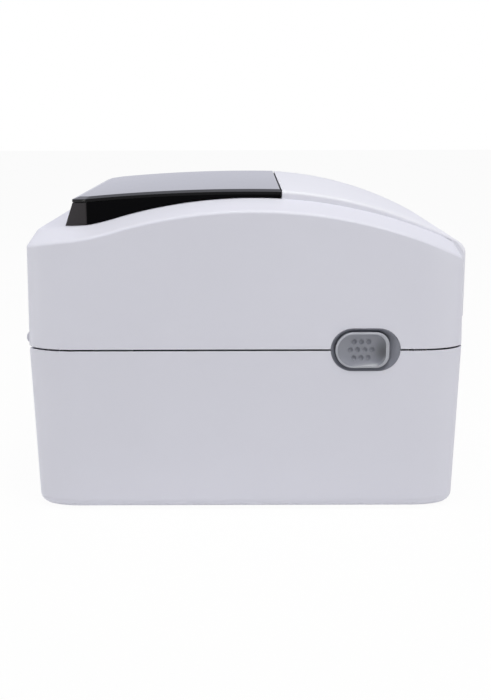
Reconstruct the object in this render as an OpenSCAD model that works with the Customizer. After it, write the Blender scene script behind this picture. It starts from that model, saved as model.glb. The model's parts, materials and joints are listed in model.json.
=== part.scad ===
// Clamshell desktop label printer for labels up to four inches wide.
// The front, where labels leave, faces -Y. The lid is hinged at the rear, and
// a release tab on each side slides towards the front to free it.

/* [Case] */
// Length of the case from front to rear
body_l = 215; // [210:1:230]
// Width of the case across its sides
body_w = 178; // [176:1:190]
// Height of the line where the lid meets the base
part_z = 83.6; // [83:0.2:88]
// Gap between the lid and the base
seam = 0.6; // [0.5:0.1:0.9]
// Wall thickness of the case
wall = 2.4; // [2:0.1:2.8]
// Length of the rounded plan corner along the side
corner_l = 24; // [20:1:28]
// Depth of the rounded plan corner across the end
corner_w = 13; // [11:0.5:15]
// Inward lean of the base walls at the bottom
base_draft = 1.8; // [1:0.1:2.4]
// Inward lean of the lid walls at the shoulder
lid_draft = 1.2; // [0.8:0.1:1.6]
// Radius of the bottom edge
bottom_r = 6; // [4:0.5:8]
// Height of the rubber feet under the base
foot_h = 1.5; // [1:0.1:3]
// Radius of a rubber foot
foot_r = 8; // [6:0.5:10]

/* [Lid top] */
// Height of the lid at its highest point
crest_z = 156; // [154:0.5:162]
// Place of the highest point, measured from the middle of the case
crest_y = -4; // [-8:1:0]
// Radius of the arched lid top
crown_r = 238; // [230:1:280]
// Drop from the highest point to the level strip at the rear
rear_drop = 14.5; // [13:0.1:16]
// Length of the level strip at the rear
rear_flat = 12.5; // [10:0.5:16]
// Width of the sloping shoulder beside the hood
shoulder_w = 16; // [14:0.5:18]
// Depth of the shoulder at the front and rear ends
shoulder_end = 5; // [4:0.5:7]
// Slope of the shoulder
shoulder_slope = 17; // [12:1:20]
// Width of the rounded outer edge of the shoulder
shoulder_edge = 3; // [2:0.5:4]

/* [Hood and band] */
// Place of the joint between hood and band, forward of the middle
hood_front = 17.5; // [14:0.5:22]
// Length of the glossy panel on the hood
panel_l = 101.8; // [95:0.5:104]
// Height of the panel above the lid's highest point
panel_rise = 4; // [3:0.1:5]
// Radius of the arched panel
panel_r = 850; // [700:10:1100]
// Thickness of the panel
panel_t = 2.4; // [2:0.1:3]
// Width of the bevel round the panel
panel_bevel = 1.3; // [0.8:0.1:1.8]
// Shadow gap between the panel and the hood frame
panel_gap = 0.8; // [0.5:0.1:1.2]
// Wall thickness of the hood frame
hood_wall = 3; // [2.5:0.1:4]
// How far the hood's rear wall leans out at its foot
hood_lean = 4; // [2:0.5:5]
// Chamfer of the hood's rear corners
hood_chamfer = 8; // [6:0.5:10]
// Radius of the arched band
band_r = 208; // [200:1:220]
// Radius of the band's nose over the front edge
band_nose = 7; // [5:0.5:9]
// How far the band stands in front of the case
band_proud = 1; // [0.6:0.1:1.6]
// Radius of the band's long edges
band_edge = 2; // [1:0.1:2.6]
// Height of the band's lower front edge
band_foot = 97; // [95.5:0.5:102]

/* [Latches] */
// Length of the oval latch cup
cup_l = 34.3; // [32:0.1:37]
// Height of the oval latch cup
cup_h = 22.2; // [21:0.1:24]
// Distance of the cup's middle from the front of the case
cup_front = 48.65; // [46:0.05:52]
// Depth of the cup
cup_depth = 4.6; // [4:0.1:5.5]
// Wall of the cup
cup_wall = 1; // [0.8:0.1:1.2]
// Length of the release tab
tab_l = 26.6; // [25.5:0.1:27]
// Height of the release tab
tab_h = 17.7; // [16:0.1:18]
// How far the tab stands proud of the side
tab_proud = 1; // [0.5:0.1:2]
// Radius of the front corners of the tab
tab_corner = 7; // [6.5:0.1:8]
// Travel of the tab towards the front
tab_travel = 3.5; // [2:0.1:3.6]
// Radius of a grip dimple on the tab
dot_r = 0.95; // [0.7:0.05:1.1]
// Depth of a grip dimple
dot_depth = 0.45; // [0.2:0.05:0.6]
// Spacing of the grip dimples along a row
dot_pitch = 3.45; // [3:0.05:3.8]
// Spacing of the rows of grip dimples
dot_row = 4; // [3.4:0.1:4.4]

/* [Hinge] */
// Height of the hinge axis above the lid's lower edge
hinge_up = 4.1; // [3.8:0.1:5]
// Distance of the hinge axis in from the rear face
hinge_in = 2.5; // [2:0.1:3]
// Radius of the hinge knuckles
knuckle_r = 3.5; // [3:0.1:3.8]
// Radius of the hinge pins
hinge_pin_r = 1.25; // [1:0.05:1.5]
// Distance of each hinge's middle from the side of the case
hinge_side = 23; // [22:0.5:24]
// Width of the middle knuckle
knuckle_w = 10; // [8:0.5:11]

/* [Print drive] */
// Room for gears and latches between a chassis plate and the side of the case
side_room = 27; // [26:0.5:28]
// Thickness of the chassis plates
frame_t = 2; // [1.5:0.1:2.4]
// Radius of the rubber platen roller
platen_r = 8; // [7:0.1:9]
// Room between an end of the platen rubber and the chassis plate
platen_room = 6; // [4:0.5:8]
// Radius of the platen shaft
shaft_r = 3; // [2.5:0.1:3.5]
// Place of the platen axis, back from the front of the case
platen_in = 19.5; // [19:0.5:22]
// Height of the platen axis below the parting line
platen_down = 4.6; // [4.2:0.1:6]
// Radial clearance of a shaft in its bush
run_gap = 0.05; // [0.03:0.01:0.08]
// Module of the drive gears
gear_m = 1; // [0.9:0.05:1.05]
// Teeth of the platen gear
platen_teeth = 24; // [24:1:26]
// Teeth of the small idler wheel
idler_small = 14; // [14:1:15]
// Teeth of the large idler wheel
idler_large = 28; // [26:1:28]
// Teeth of the motor pinion
pinion_teeth = 14; // [14:1:16]
// Face width of the drive gears
gear_w = 4; // [3:0.5:4.5]
// Side of the square stepper motor
motor_side = 42; // [38:1:42]
// Length of the stepper motor
motor_len = 33; // [26:1:40]

/* [Roll bay] */
// Room between the motor and the wall of the roll bay
motor_room = 0.5; // [0.3:0.1:4]
// Distance of the bay's rear wall from the rear of the case
bay_back = 10.5; // [10:0.5:12]
// Height of the bay floor
bay_z = 23; // [22.8:0.2:25]
// Thickness of the bay floor and deck
tray_t = 2; // [1.5:0.1:2.5]
// Distance of each roll guide from the chassis plate
guide_side = 10.5; // [10:0.5:30]
// Outward travel of each guide
guide_out = 6.5; // [2:0.5:6.5]
// Thickness of a roll guide
guide_t = 3; // [2:0.1:3.4]
// Radius of the hubs that hold the roll's core
hub_r = 12; // [10:0.5:12.5]
// Module of the guide rack
rack_m = 1.5; // [1.3:0.1:1.6]
// Teeth of the guide pinion
guide_teeth = 16; // [16:2:18]

/* [Print head] */
// Thickness of the ceramic head
head_t = 1.1; // [0.8:0.1:1.5]
// Height of the aluminium heat sink
sink_h = 8; // [6:0.5:9]
// Gap between the head and the platen
head_gap = 0.3; // [0.2:0.05:0.5]
// Radius of the rod that the head swings on
rod_r = 2; // [1.5:0.1:2.5]
// Curls of a head spring
head_curls = 6; // [4:1:6]

/* [Rear ports] */
// Width of the rear port opening
port_w = 96; // [92:1:104]
// Height of the rear port opening
port_h = 14; // [13.6:0.2:15]
// Height of the lower edge of the port opening
port_z = 8; // [7.8:0.1:8.4]

/* [Front controls] */
// Radius of the feed button
button_r = 6; // [4:0.5:7]
// Place of the feed button across the front
button_x = 48; // [40:1:54]
// Height of the feed button
button_z = 119; // [118.5:0.5:121]
// Travel of the feed button
button_travel = 1; // [0.6:0.1:1.2]
// Radius of the status light pipe
light_r = 2; // [1.5:0.1:2.5]

/* [Hidden] */
$fn = 48;

// Clearances and small shared sizes
fit = 0.1;
gap = 0.3;
slack = 0.4;
corner_min = 2;
corner_n = 10;
side_n = 18;
fillet_n = 4;
screw_r = 1.5;
screw_head_r = 3;
screw_head_h = 1.2;

// Heights of the case
base_z0 = foot_h;
base_top = part_z - seam / 2;
lid_z0 = part_z + seam / 2;
floor_z = base_z0 + wall;
half_l = body_l / 2;
half_w = body_w / 2;
frame_x = half_w - side_room;

// The lid's top: a crown arc, then a hollow arc that ends level at the rear
flat_y = half_l - rear_flat;
run = flat_y - crest_y;
hollow_r = (rear_drop * rear_drop + run * run) / (2 * rear_drop) - crown_r;
bend_y = crest_y + run * crown_r / (crown_r + hollow_r);
function sag(r, d) = r - sqrt(r * r - d * d);
function crown(y) =
    y < bend_y ? crest_z - sag(crown_r, y - crest_y)
    : y < flat_y ? crest_z - rear_drop + sag(hollow_r, flat_y - y)
    : crest_z - rear_drop;

// The shoulder falls from the hood to a rounded edge above the side wall
edge_r = shoulder_edge / (1 - sin(shoulder_slope));
slope_drop = (shoulder_w - shoulder_edge) * tan(shoulder_slope);
edge_drop = slope_drop + edge_r * cos(shoulder_slope);
end_edge = shoulder_end * shoulder_edge / shoulder_w;

// Points of a plan outline, right half from front to rear, then the left half back
function right_half(hx, hy, b, a) = concat(
    [for (i = [0:corner_n]) let (t = 90 * i / corner_n) [hx - b + b * sin(t), a - hy - a * cos(t)]],
    [for (i = [1:side_n - 1]) [hx, (hy - a) * (2 * i / side_n - 1)]],
    [for (i = [0:corner_n]) let (t = 90 * i / corner_n) [hx - b + b * cos(t), hy - a + a * sin(t)]]);
function both_halves(half) = concat(half, [for (i = [len(half) - 1:-1:0]) [-half[i][0], half[i][1]]]);
function case_outline(dx, dy) = both_halves(right_half(
    half_w - dx, half_l - dy, max(corner_w - dx, corner_min), max(corner_l - dy, corner_min)));
function flat_ring(d, z) = [for (p = case_outline(d, d)) [p[0], p[1], z]];
function crown_ring(dx, dy, drop) = [for (p = case_outline(dx, dy)) [p[0], p[1], crown(p[1]) - drop]];

// A closed solid through a list of rings with as many points each. Each end is
// closed by strips across, and a looped list has no ends. Rings that start at
// the bottom or outside of a rising wall set up to true.
module loft(rings, up = false, looped = false) {
    n = len(rings[0]);
    m = len(rings);
    steps = looped ? m : m - 1;
    sides = [for (i = [0:steps - 1], j = [0:n - 1])
        let (k = (i + 1) % m, q = (j + 1) % n)
        each [[i * n + j, i * n + q, k * n + q], [i * n + j, k * n + q, k * n + j]]];
    first = [for (j = [0:n / 2 - 2]) each [[j, n - 1 - j, n - 2 - j], [j, n - 2 - j, j + 1]]];
    z = (m - 1) * n;
    last = [for (j = [0:n / 2 - 2])
        each [[z + j, z + n - 2 - j, z + n - 1 - j], [z + j, z + j + 1, z + n - 2 - j]]];
    all = looped ? sides : concat(sides, first, last);
    polyhedron(
        points = [for (r = rings) each r],
        faces = up ? [for (f = all) [f[2], f[1], f[0]]] : all);
}

// Turns a shape drawn in (Y, Z) so that it is extruded along +X from x
module along_x(x) {
    translate([x, 0, 0]) rotate([90, 0, 90]) children();
}

// Turns a shape drawn in (X, Z) so that it is extruded along +Y from y
module along_y(y, depth) {
    translate([0, y + depth, 0]) rotate([90, 0, 0]) linear_extrude(depth) children();
}

// A box between two corners
module span(a, b) {
    translate(a) cube(b - a);
}

// A round bar along X at a place in (Y, Z)
module bar_x(x0, x1, y, z, r) {
    translate([x0, y, z]) rotate([0, 90, 0]) cylinder(h = x1 - x0, r = r);
}

// A round bar along Y at a place in (X, Z)
module bar_y(y0, y1, x, z, r) {
    translate([x, y0, z]) rotate([-90, 0, 0]) cylinder(h = y1 - y0, r = r);
}

// An oval with round ends
module oval(l, h) {
    square([l - h, h], center = true);
    for (s = [-1, 1]) translate([s * (l - h) / 2, 0]) circle(d = h);
}

// One moulded part on each side of the case
module on_side(side) {
    if (side > 0) children();
    else mirror([1, 0, 0]) children();
}

// Hinge
hinge_x = half_w - hinge_side;
hinge_y = half_l - hinge_in;
hinge_z = lid_z0 + hinge_up;
knuckle_gap = 0.3;
outer_knuckle_w = 6;
hinge_half = knuckle_w / 2 + knuckle_gap + outer_knuckle_w;
block_z0 = part_z - 11;
rear_relief = 1.4;
relief_half = hinge_x + hinge_half + 2;

// Fan-fold inlet at the rear
inlet_half = frame_x - 4;
inlet_z0 = part_z - 10.6;

// Label exit at the front
exit_half = frame_x - 1.5;
exit_top = part_z + 9.4;

// Platen and gear train, in (Y, Z)
platen_half = frame_x - platen_room;
platen_y = platen_in - half_l;
platen_z = part_z - platen_down;
pitch_platen = gear_m * platen_teeth / 2;
pitch_small = gear_m * idler_small / 2;
pitch_large = gear_m * idler_large / 2;
pitch_motor = gear_m * pinion_teeth / 2;
motor_back = 20.5;
motor_drop = 33;
motor_y = platen_y + motor_back;
motor_z = platen_z - motor_drop;
// The idler sits where the two centre distances meet
reach_motor = pitch_motor + pitch_large;
reach_platen = pitch_small + pitch_platen;
centre_d = norm([motor_back, motor_drop]);
along_d = (reach_motor * reach_motor - reach_platen * reach_platen + centre_d * centre_d) / (2 * centre_d);
off_d = sqrt(reach_motor * reach_motor - along_d * along_d);
idler_y = motor_y + (-motor_back * along_d + motor_drop * off_d) / centre_d;
idler_z = motor_z + (motor_drop * along_d + motor_back * off_d) / centre_d;

// Places along X in the gear space
gear_x0 = frame_x + frame_t + 3;
gear_x1 = gear_x0 + gear_w + 1;
bush_r = shaft_r + 2;
bush_flange_r = bush_r + 1.5;
bush_flange_t = 1.2;

// Roll bay
bay_rear = half_l - bay_back;
bay_front = motor_y + motor_side / 2 + motor_room + tray_t;
deck_z = part_z - 1.6;
deck_front = platen_y + platen_r + 2;
tray_half = frame_x - fit;
guide_y = (bay_front + bay_rear) / 2;
rack_pitch_r = rack_m * guide_teeth / 2;
rack_z = bay_z + gap;
rack_h = 4;
rack_back = 3.5;
guide_top = part_z + 20;
guide_half = 32;
guide_round = 12;
guide_foot_z = rack_z + rack_h + 1.5;
hub_z = (bay_z + crest_z - wall) / 2;
hub_len = 6;

// Light gate that senses the closed lid
gate_y = bay_front - 16;
gate_w = 10;
gate_l = 8;
gate_slot = 3;
gate_top = part_z + 2;

// Print head, carried under the liner in the lid
head_z = platen_z + platen_r + head_gap;
sink_z = head_z + head_t;
bracket_z = sink_z + sink_h;
bracket_t = 1.5;
liner_z = bracket_z + bracket_t + 10;
liner_t = 2.4;
rod_y = platen_y + 28;
rod_z = bracket_z + bracket_t + 2.5;
head_front = platen_y - 9;
liner_front = -half_l + wall + lid_draft + 2.6;
liner_rear = rod_y + 14;
liner_half = frame_x + frame_t + gate_w / 2 + 2;
post_r = 3.5;
spring_x = 36;

// Latch parts, on the right-hand side
cup_y = half_l - cup_front;
cup_face = half_w;
cup_floor = cup_face - cup_depth;
cup_floor_t = 1.4;
cup_in = cup_floor - cup_floor_t;
tab_rear = cup_y - cup_l / 2 + cup_wall + 1.2;
tab_mid = tab_rear + tab_l / 2;
slide_x1 = cup_in - slack;
slide_x0 = slide_x1 - 3;
slide_z0 = part_z - 11;
slide_z1 = part_z + 13;
slide_half = 12;
hook_z0 = slide_z1 - 3.5;
hook_reach = 4;
stem_half = 5;
stem_h = 8;
tab_wire = 0.45;
tab_coil = 2.2;
tab_curls = 7;
tab_spring_l = 12;

// Feet and screws
foot_x = half_w - 26;
foot_y = half_l - 28;
post_x = frame_x - 5;
post_front = bay_front + 9;
post_rear = bay_rear - 7;

// Board and ports
board_z = floor_z + 4;
board_t = 1.6;
board_half = frame_x - 10;
board_front = bay_front + 44;
rear_in = half_l - base_draft - wall;
board_rear = rear_in - 5;
port_top = port_z + port_h;
usb_x = 16;
usb_w = 12;
usb_h = 11;
dc_x = -6;
dc_w = 9;
dc_h = 11;
switch_x = -33;
switch_w = 19;
switch_h = 12.4;
plate_gap = 0.8;
plate_y1 = rear_in - plate_gap;
plate_t = 1.6;
rocker_angle = 12;

// Involute gears. Each tooth is thinner than half the pitch by the backlash.
pressure = 20;
addendum = 0.8;
dedendum = 1.15;
backlash = 0.14;
flank_n = 5;
function involute(a) = tan(a) * 180 / PI - a;
function tooth_half(r, rp, m) =
    let (rb = rp * cos(pressure), a = r > rb ? acos(rb / r) : 0)
    ((PI * m / 2 - backlash * m) / 2 / rp) * 180 / PI + involute(pressure) - involute(a);
function gear_outline(teeth, m, turn) =
    let (rp = m * teeth / 2, ra = rp + addendum * m, rf = rp - dedendum * m)
    let (r0 = max(rf, rp * cos(pressure)))
    let (radii = concat(r0 > rf ? [rf] : [], [for (k = [0:flank_n]) r0 + (ra - r0) * k / flank_n]))
    [for (i = [0:teeth - 1]) let (c = turn + 360 * i / teeth)
        each concat(
            [for (r = radii) let (h = tooth_half(max(r, r0), rp, m)) r * [cos(c - h), sin(c - h)]],
            [for (k = [len(radii) - 1:-1:0])
                let (r = radii[k], h = tooth_half(max(r, r0), rp, m)) r * [cos(c + h), sin(c + h)]])];
// Turn of a gear that meshes with another whose tooth is at turn_a
function mesh_turn(dir, turn_a, teeth_a, teeth_b) =
    dir + 180 - 360 / teeth_b * (0.5 - (dir - turn_a) * teeth_a / 360);
platen_to_idler = atan2(idler_z - platen_z, idler_y - platen_y);
idler_to_motor = atan2(motor_z - idler_z, motor_y - idler_y);
small_turn = mesh_turn(platen_to_idler, 0, platen_teeth, idler_small);
motor_turn = mesh_turn(idler_to_motor, 0, idler_large, pinion_teeth);

// A rack's toothed edge with a gap centred at x = 0, teeth towards +Y
function rack_outline(x0, x1, m) =
    let (p = PI * m, t = (p / 2 - backlash * m) / 2, k0 = ceil(x0 / p), k1 = floor(x1 / p) - 1)
    concat(
        [[x0, -rack_back - dedendum * m], [x0, -dedendum * m]],
        [for (k = [k0:k1]) let (c = (k + 0.5) * p)
            each [
                [c - t - dedendum * m * tan(pressure), -dedendum * m],
                [c - t + addendum * m * tan(pressure), addendum * m],
                [c + t - addendum * m * tan(pressure), addendum * m],
                [c + t + dedendum * m * tan(pressure), -dedendum * m]]],
        [[x1, -dedendum * m], [x1, -rack_back - dedendum * m]]);

// A coil spring standing on z = 0, one unbroken six-sided tube
curl_steps = 8;
wire_sides = 6;
function coil_path(r, h, curls) = [for (i = [0:curls * curl_steps])
    let (a = 360 * i / curl_steps) [r * cos(a), r * sin(a), h * i / (curls * curl_steps)]];
function coil_gap(path, wire) = min([for (i = [0:len(path) - 1], j = [i:len(path) - 1])
    if (j - i >= curl_steps / 2) norm(path[i] - path[j]) - 2 * wire]);
module coil(r, wire, h, curls) {
    path = coil_path(r, h - 2 * wire, curls);
    echo("least gap between curls", coil_gap(path, wire));
    rings = [for (i = [0:len(path) - 1]) let (a = 360 * i / curl_steps)
        [for (k = [0:wire_sides - 1]) let (b = 360 * k / wire_sides + 180 / wire_sides)
            path[i] + [wire * cos(b) * cos(a), wire * cos(b) * sin(a), wire + wire * sin(b)]]];
    loft(rings, up = true);
}

// Lower case

module foot_places() {
    for (sx = [-1, 1], sy = [-1, 1]) translate([sx * foot_x, sy * foot_y, 0]) children();
}

module post_places() {
    for (sx = [-1, 1], y = [post_front, post_rear]) translate([sx * post_x, y, 0]) children();
}

module cup_hole(extra) {
    for (s = [-1, 1]) along_x(s > 0 ? half_w - cup_depth : -half_w - cup_depth)
        linear_extrude(2 * cup_depth) translate([-cup_y, part_z])
            oval(cup_l + 2 * extra, cup_h + 2 * extra);
}

module base_shell() {
    inner_r = bottom_r - wall / 2;
    rings = concat(
        [for (i = [0:fillet_n]) let (t = 90 * i / fillet_n)
            flat_ring(base_draft + bottom_r * (1 - sin(t)), base_z0 + bottom_r * (1 - cos(t)))],
        [flat_ring(0, base_top), flat_ring(wall, base_top)],
        [for (i = [fillet_n:-2:0]) let (t = 90 * i / fillet_n)
            flat_ring(base_draft + wall + inner_r * (1 - sin(t)), floor_z + inner_r * (1 - cos(t)))]);
    color("gainsboro") difference() {
        loft(rings, up = true);
        cup_hole(fit);
        // Lowered rear rim, fan-fold inlet and hinge block seats
        span([-relief_half, half_l - corner_l, base_top - rear_relief],
            [relief_half, half_l + 1, part_z + 1]);
        span([-inlet_half, bay_rear, inlet_z0], [inlet_half, half_l + 1, part_z + 1]);
        for (s = [-1, 1]) translate([s * hinge_x, 0, 0])
            span([-knuckle_w / 2 - fit, bay_rear, block_z0 - fit],
                [knuckle_w / 2 + fit, half_l + 1, part_z + 1]);
        // Rear port opening
        span([switch_x - switch_w, rear_in - wall, port_z],
            [switch_x - switch_w + port_w, half_l + 1, port_top]);
        // Screw holes from below
        post_places() {
            translate([0, 0, base_z0 - 1]) cylinder(h = wall + 2, r = screw_r + fit);
            translate([0, 0, base_z0 - 1]) cylinder(h = 1 + screw_head_h + fit, r = screw_head_r + fit);
        }
    }
}

module rubber_feet() {
    color("#2a2a2c") foot_places() {
        cylinder(h = foot_h / 2, r1 = foot_r - foot_h / 2, r2 = foot_r);
        translate([0, 0, foot_h / 2]) cylinder(h = foot_h / 2, r = foot_r);
    }
}

module base_screws() {
    color("silver") post_places() translate([0, 0, base_z0 + fit]) {
        cylinder(h = screw_head_h, r = screw_head_r);
        cylinder(h = bay_z - tray_t - base_z0 - 4, r = screw_r);
    }
}

module media_tray() {
    outline = [
        [bay_rear + tray_t, inlet_z0 - gap], [bay_rear + tray_t, bay_z - tray_t],
        [bay_front - tray_t, bay_z - tray_t], [bay_front - tray_t, deck_z - tray_t],
        [deck_front, deck_z - tray_t], [deck_front, deck_z],
        [bay_front, deck_z], [bay_front, bay_z],
        [bay_rear, bay_z], [bay_rear, inlet_z0 - gap]];
    color("#3a3b40") difference() {
        union() {
            along_x(-tray_half) linear_extrude(2 * tray_half) polygon(outline);
            post_places() translate([0, 0, floor_z + fit])
                cylinder(h = bay_z - tray_t - floor_z, r = post_r);
        }
        post_places() translate([0, 0, floor_z])
            cylinder(h = bay_z - tray_t - floor_z - 2, r = screw_r + fit / 2);
        span([-sensor_w / 2 - fit, sensor_y - sensor_l / 2 - fit, deck_z - tray_t - 1],
            [sensor_w / 2 + fit, sensor_y + sensor_l / 2 + fit, deck_z + 1]);
        translate([0, guide_y, bay_z - tray_t - 1]) cylinder(h = tray_t + 2, r = guide_post_r);
    }
}

// Steel chassis plates

frame_front = -half_l + wall + base_draft + 1;
frame_foot_front = frame_front + bottom_r + 2;
frame_foot_rear = bay_rear - 3;
ear_top = platen_z + bush_r + 2.5;
ear_half = bush_r + 4;
module chassis_plate() {
    outline = [
        [frame_foot_front, floor_z + fit], [frame_foot_rear, floor_z + fit],
        [bay_rear + tray_t, bay_z], [bay_rear + tray_t, inlet_z0 - gap],
        [bay_front, deck_z], [platen_y + ear_half, deck_z],
        [platen_y + ear_half, ear_top], [platen_y - ear_half, ear_top],
        [platen_y - ear_half, deck_z], [frame_front, deck_z], [frame_front, bay_z]];
    linear_extrude(frame_t) difference() {
        polygon(outline);
        translate([platen_y, platen_z]) circle(r = bush_r);
    }
}

motor_boss_r = 11;
screw_pitch = motor_side * 31 / 42;
module motor_screw_places() {
    for (sy = [-1, 1], sz = [-1, 1])
        translate([motor_y + sy * screw_pitch / 2, motor_z + sz * screw_pitch / 2]) children();
}

module chassis_left() {
    color("lightgray") along_x(-frame_x - frame_t) chassis_plate();
}

module chassis_right() {
    color("lightgray") difference() {
        along_x(frame_x) chassis_plate();
        bar_x(frame_x - 1, frame_x + frame_t + 1, motor_y, motor_z, motor_boss_r + fit);
        bar_x(frame_x - 1, frame_x + frame_t + 1, idler_y, idler_z, stud_r);
        along_x(frame_x - 1) linear_extrude(frame_t + 2) motor_screw_places() circle(r = screw_r + fit / 2);
    }
}

lip_top = part_z + 0.8;
module exit_lip() {
    y0 = -half_l + wall + gap;
    y1 = platen_y - platen_r - 2;
    color("#3a3b40") along_x(-frame_x + fit) linear_extrude(2 * frame_x - 2 * fit)
        polygon([
            [y0, lip_top - 6], [y1, lip_top - 4], [y1, lip_top - 1], [y1 - 2, lip_top], [y0, lip_top - 0.6]]);
}

// Hinge

module hinge_blocks() {
    rear = half_l - base_draft * (part_z - block_z0) / part_z - fit;
    foot_y1 = rear - wall - gap;
    color("gainsboro") for (s = [-1, 1]) translate([s * hinge_x, 0, 0]) difference() {
        union() {
            bar_x(-knuckle_w / 2, knuckle_w / 2, hinge_y, hinge_z, knuckle_r);
            span([-knuckle_w / 2, hinge_y - knuckle_r, block_z0], [knuckle_w / 2, rear, hinge_z]);
            span([-knuckle_w / 2 - 4, foot_y1 - 3, block_z0 - 12],
                [knuckle_w / 2 + 4, foot_y1, block_z0 + 1]);
        }
        bar_x(-knuckle_w, knuckle_w, hinge_y, hinge_z, hinge_pin_r);
    }
}

module hinge_pins() {
    color("silver") for (s = [-1, 1])
        bar_x(s * hinge_x - hinge_half, s * hinge_x + hinge_half, hinge_y, hinge_z, hinge_pin_r);
}

arm_leaf_z = hinge_z + knuckle_r + 1;
module lid_hinge_arms() {
    leaf_rear = half_l - wall - lid_draft * 0.7;
    color("gainsboro") for (s = [-1, 1]) translate([s * hinge_x, 0, 0]) {
        for (k = [-1, 1]) translate([k * (hinge_half - outer_knuckle_w / 2), 0, 0]) difference() {
            union() {
                bar_x(-outer_knuckle_w / 2, outer_knuckle_w / 2, hinge_y, hinge_z, knuckle_r);
                span([-outer_knuckle_w / 2, leaf_rear - 2.4, hinge_z],
                    [outer_knuckle_w / 2, leaf_rear, arm_leaf_z + 1]);
            }
            bar_x(-outer_knuckle_w, outer_knuckle_w, hinge_y, hinge_z, hinge_pin_r + run_gap);
        }
        span([-hinge_half, leaf_rear - 2.4, arm_leaf_z], [hinge_half, leaf_rear, arm_leaf_z + 18]);
    }
}

// Latches

module latch_cup() {
    floor_slot_l = 2 * stem_half + tab_travel + 2 * slack;
    foot_x1 = half_w - wall - base_draft * 0.3 - gap;
    difference() {
        along_x(cup_in) linear_extrude(cup_face - cup_in) translate([-cup_y, part_z]) oval(cup_l, cup_h);
        along_x(cup_floor) linear_extrude(cup_depth + 1) translate([-cup_y, part_z])
            oval(cup_l - 2 * cup_wall, cup_h - 2 * cup_wall);
        span([cup_in - 1, -tab_mid - stem_half - tab_travel - slack, part_z - stem_h / 2 - slack],
            [cup_floor + 1, -tab_mid - stem_half - tab_travel - slack + floor_slot_l, part_z + stem_h / 2 + slack]);
    }
    // Foot behind the base wall, with a rail to the seat of the tab's spring
    foot_z = part_z - cup_h / 2 - 8;
    seat_y = tab_spring_y - tab_spring_l - 2 * fit;
    span([cup_in, -cup_y - cup_h / 2, foot_z], [foot_x1, -cup_y + cup_h / 2, part_z - cup_h / 2 + 0.5]);
    span([cup_in, seat_y - 2, foot_z], [foot_x1, -cup_y, slide_z0 - slack]);
    span([tab_spring_x - tab_coil, seat_y - 2, foot_z], [foot_x1, seat_y, tab_spring_z + tab_coil + 1]);
}

module latch_cup_left() {
    color("#4b4b57") on_side(-1) latch_cup();
}

module latch_cup_right() {
    color("#4b4b57") on_side(1) latch_cup();
}

// The tab's outline: a full round at the rear, softer corners at the front
module tab_outline(inset) {
    front = -tab_mid - tab_l / 2 + inset;
    round_r = tab_h / 2 - inset;
    corner = tab_corner - inset;
    translate([-tab_rear - tab_h / 2, part_z]) circle(r = round_r);
    for (s = [-1, 1]) translate([front + corner, part_z + s * (round_r - corner)]) circle(r = corner);
    translate([front + corner, part_z - round_r])
        square([-tab_rear - tab_h / 2 - front - corner, 2 * round_r]);
    translate([front, part_z - round_r + corner]) square([corner, 2 * (round_r - corner)]);
}

tab_rim = 1.4;
tab_dish = 1.2;
dot_ball = (dot_r * dot_r + dot_depth * dot_depth) / (2 * dot_depth);
module release_tab() {
    face = cup_face + tab_proud;
    difference() {
        along_x(cup_floor + slack) linear_extrude(face - cup_floor - slack) tab_outline(0);
        along_x(face - tab_dish) linear_extrude(tab_dish + 1) tab_outline(tab_rim);
        // Grip dimples in rows of three, four and three
        for (row = [-1, 0, 1], i = [0:row == 0 ? 3 : 2])
            translate([
                face - tab_dish + dot_ball - dot_depth,
                -tab_mid + dot_pitch * (i - (row == 0 ? 1.5 : 1)),
                part_z + row * dot_row]) sphere(r = dot_ball);
    }
    span([slide_x0, -tab_mid - stem_half, part_z - stem_h / 2],
        [cup_floor + slack, -tab_mid + stem_half, part_z + stem_h / 2]);
    // Slide plate with its hook
    span([slide_x0, -tab_mid - slide_half, slide_z0], [slide_x1, -tab_mid + slide_half, slide_z1 - 6]);
    span([slide_x0, -tab_mid, slide_z1 - 7], [slide_x1, -tab_mid + slide_half, slide_z1]);
    span([slide_x0, -tab_mid + slide_half - 1, hook_z0],
        [slide_x1, -tab_mid + slide_half + hook_reach, slide_z1]);
}

module release_tab_left() {
    color("#83858f") on_side(-1) release_tab();
}

module release_tab_right() {
    color("#83858f") on_side(1) release_tab();
}

tab_spring_x = slide_x1 - tab_coil - tab_wire;
tab_spring_z = slide_z0 + 6;
tab_spring_y = -tab_mid - slide_half;
module tab_spring() {
    translate([tab_spring_x, tab_spring_y - fit, tab_spring_z]) rotate([90, 0, 0])
        coil(tab_coil, tab_wire, tab_spring_l, tab_curls);
}

module tab_spring_left() {
    color("silver") on_side(-1) tab_spring();
}

module tab_spring_right() {
    color("silver") on_side(1) tab_spring();
}

// Platen and drive

shaft_left = -frame_x - frame_t - bush_flange_t - 3;
shaft_right = gear_x1 + gear_w + 1;
module platen_shaft() {
    color("silver") bar_x(shaft_left, shaft_right, platen_y, platen_z, shaft_r);
}

module platen_rubber() {
    color("#1d1d1f") difference() {
        bar_x(-platen_half, platen_half, platen_y, platen_z, platen_r);
        bar_x(-platen_half - 1, platen_half + 1, platen_y, platen_z, shaft_r);
    }
}

module platen_bushes() {
    color("ivory") for (s = [-1, 1]) on_side(s) difference() {
        union() {
            bar_x(frame_x - bush_flange_t, frame_x, platen_y, platen_z, bush_flange_r);
            bar_x(frame_x - bush_flange_t, frame_x + frame_t + 0.8, platen_y, platen_z, bush_r);
        }
        bar_x(frame_x - 5, frame_x + 5, platen_y, platen_z, shaft_r + run_gap);
    }
}

module gear_wheel(x, y, z, teeth, turn, bore, w = gear_w) {
    translate([0, y, z]) along_x(x) linear_extrude(w) difference() {
        polygon(gear_outline(teeth, gear_m, turn));
        circle(r = bore);
    }
}

module platen_gear() {
    color("ivory") gear_wheel(gear_x1, platen_y, platen_z, platen_teeth, 0, shaft_r);
}

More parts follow.
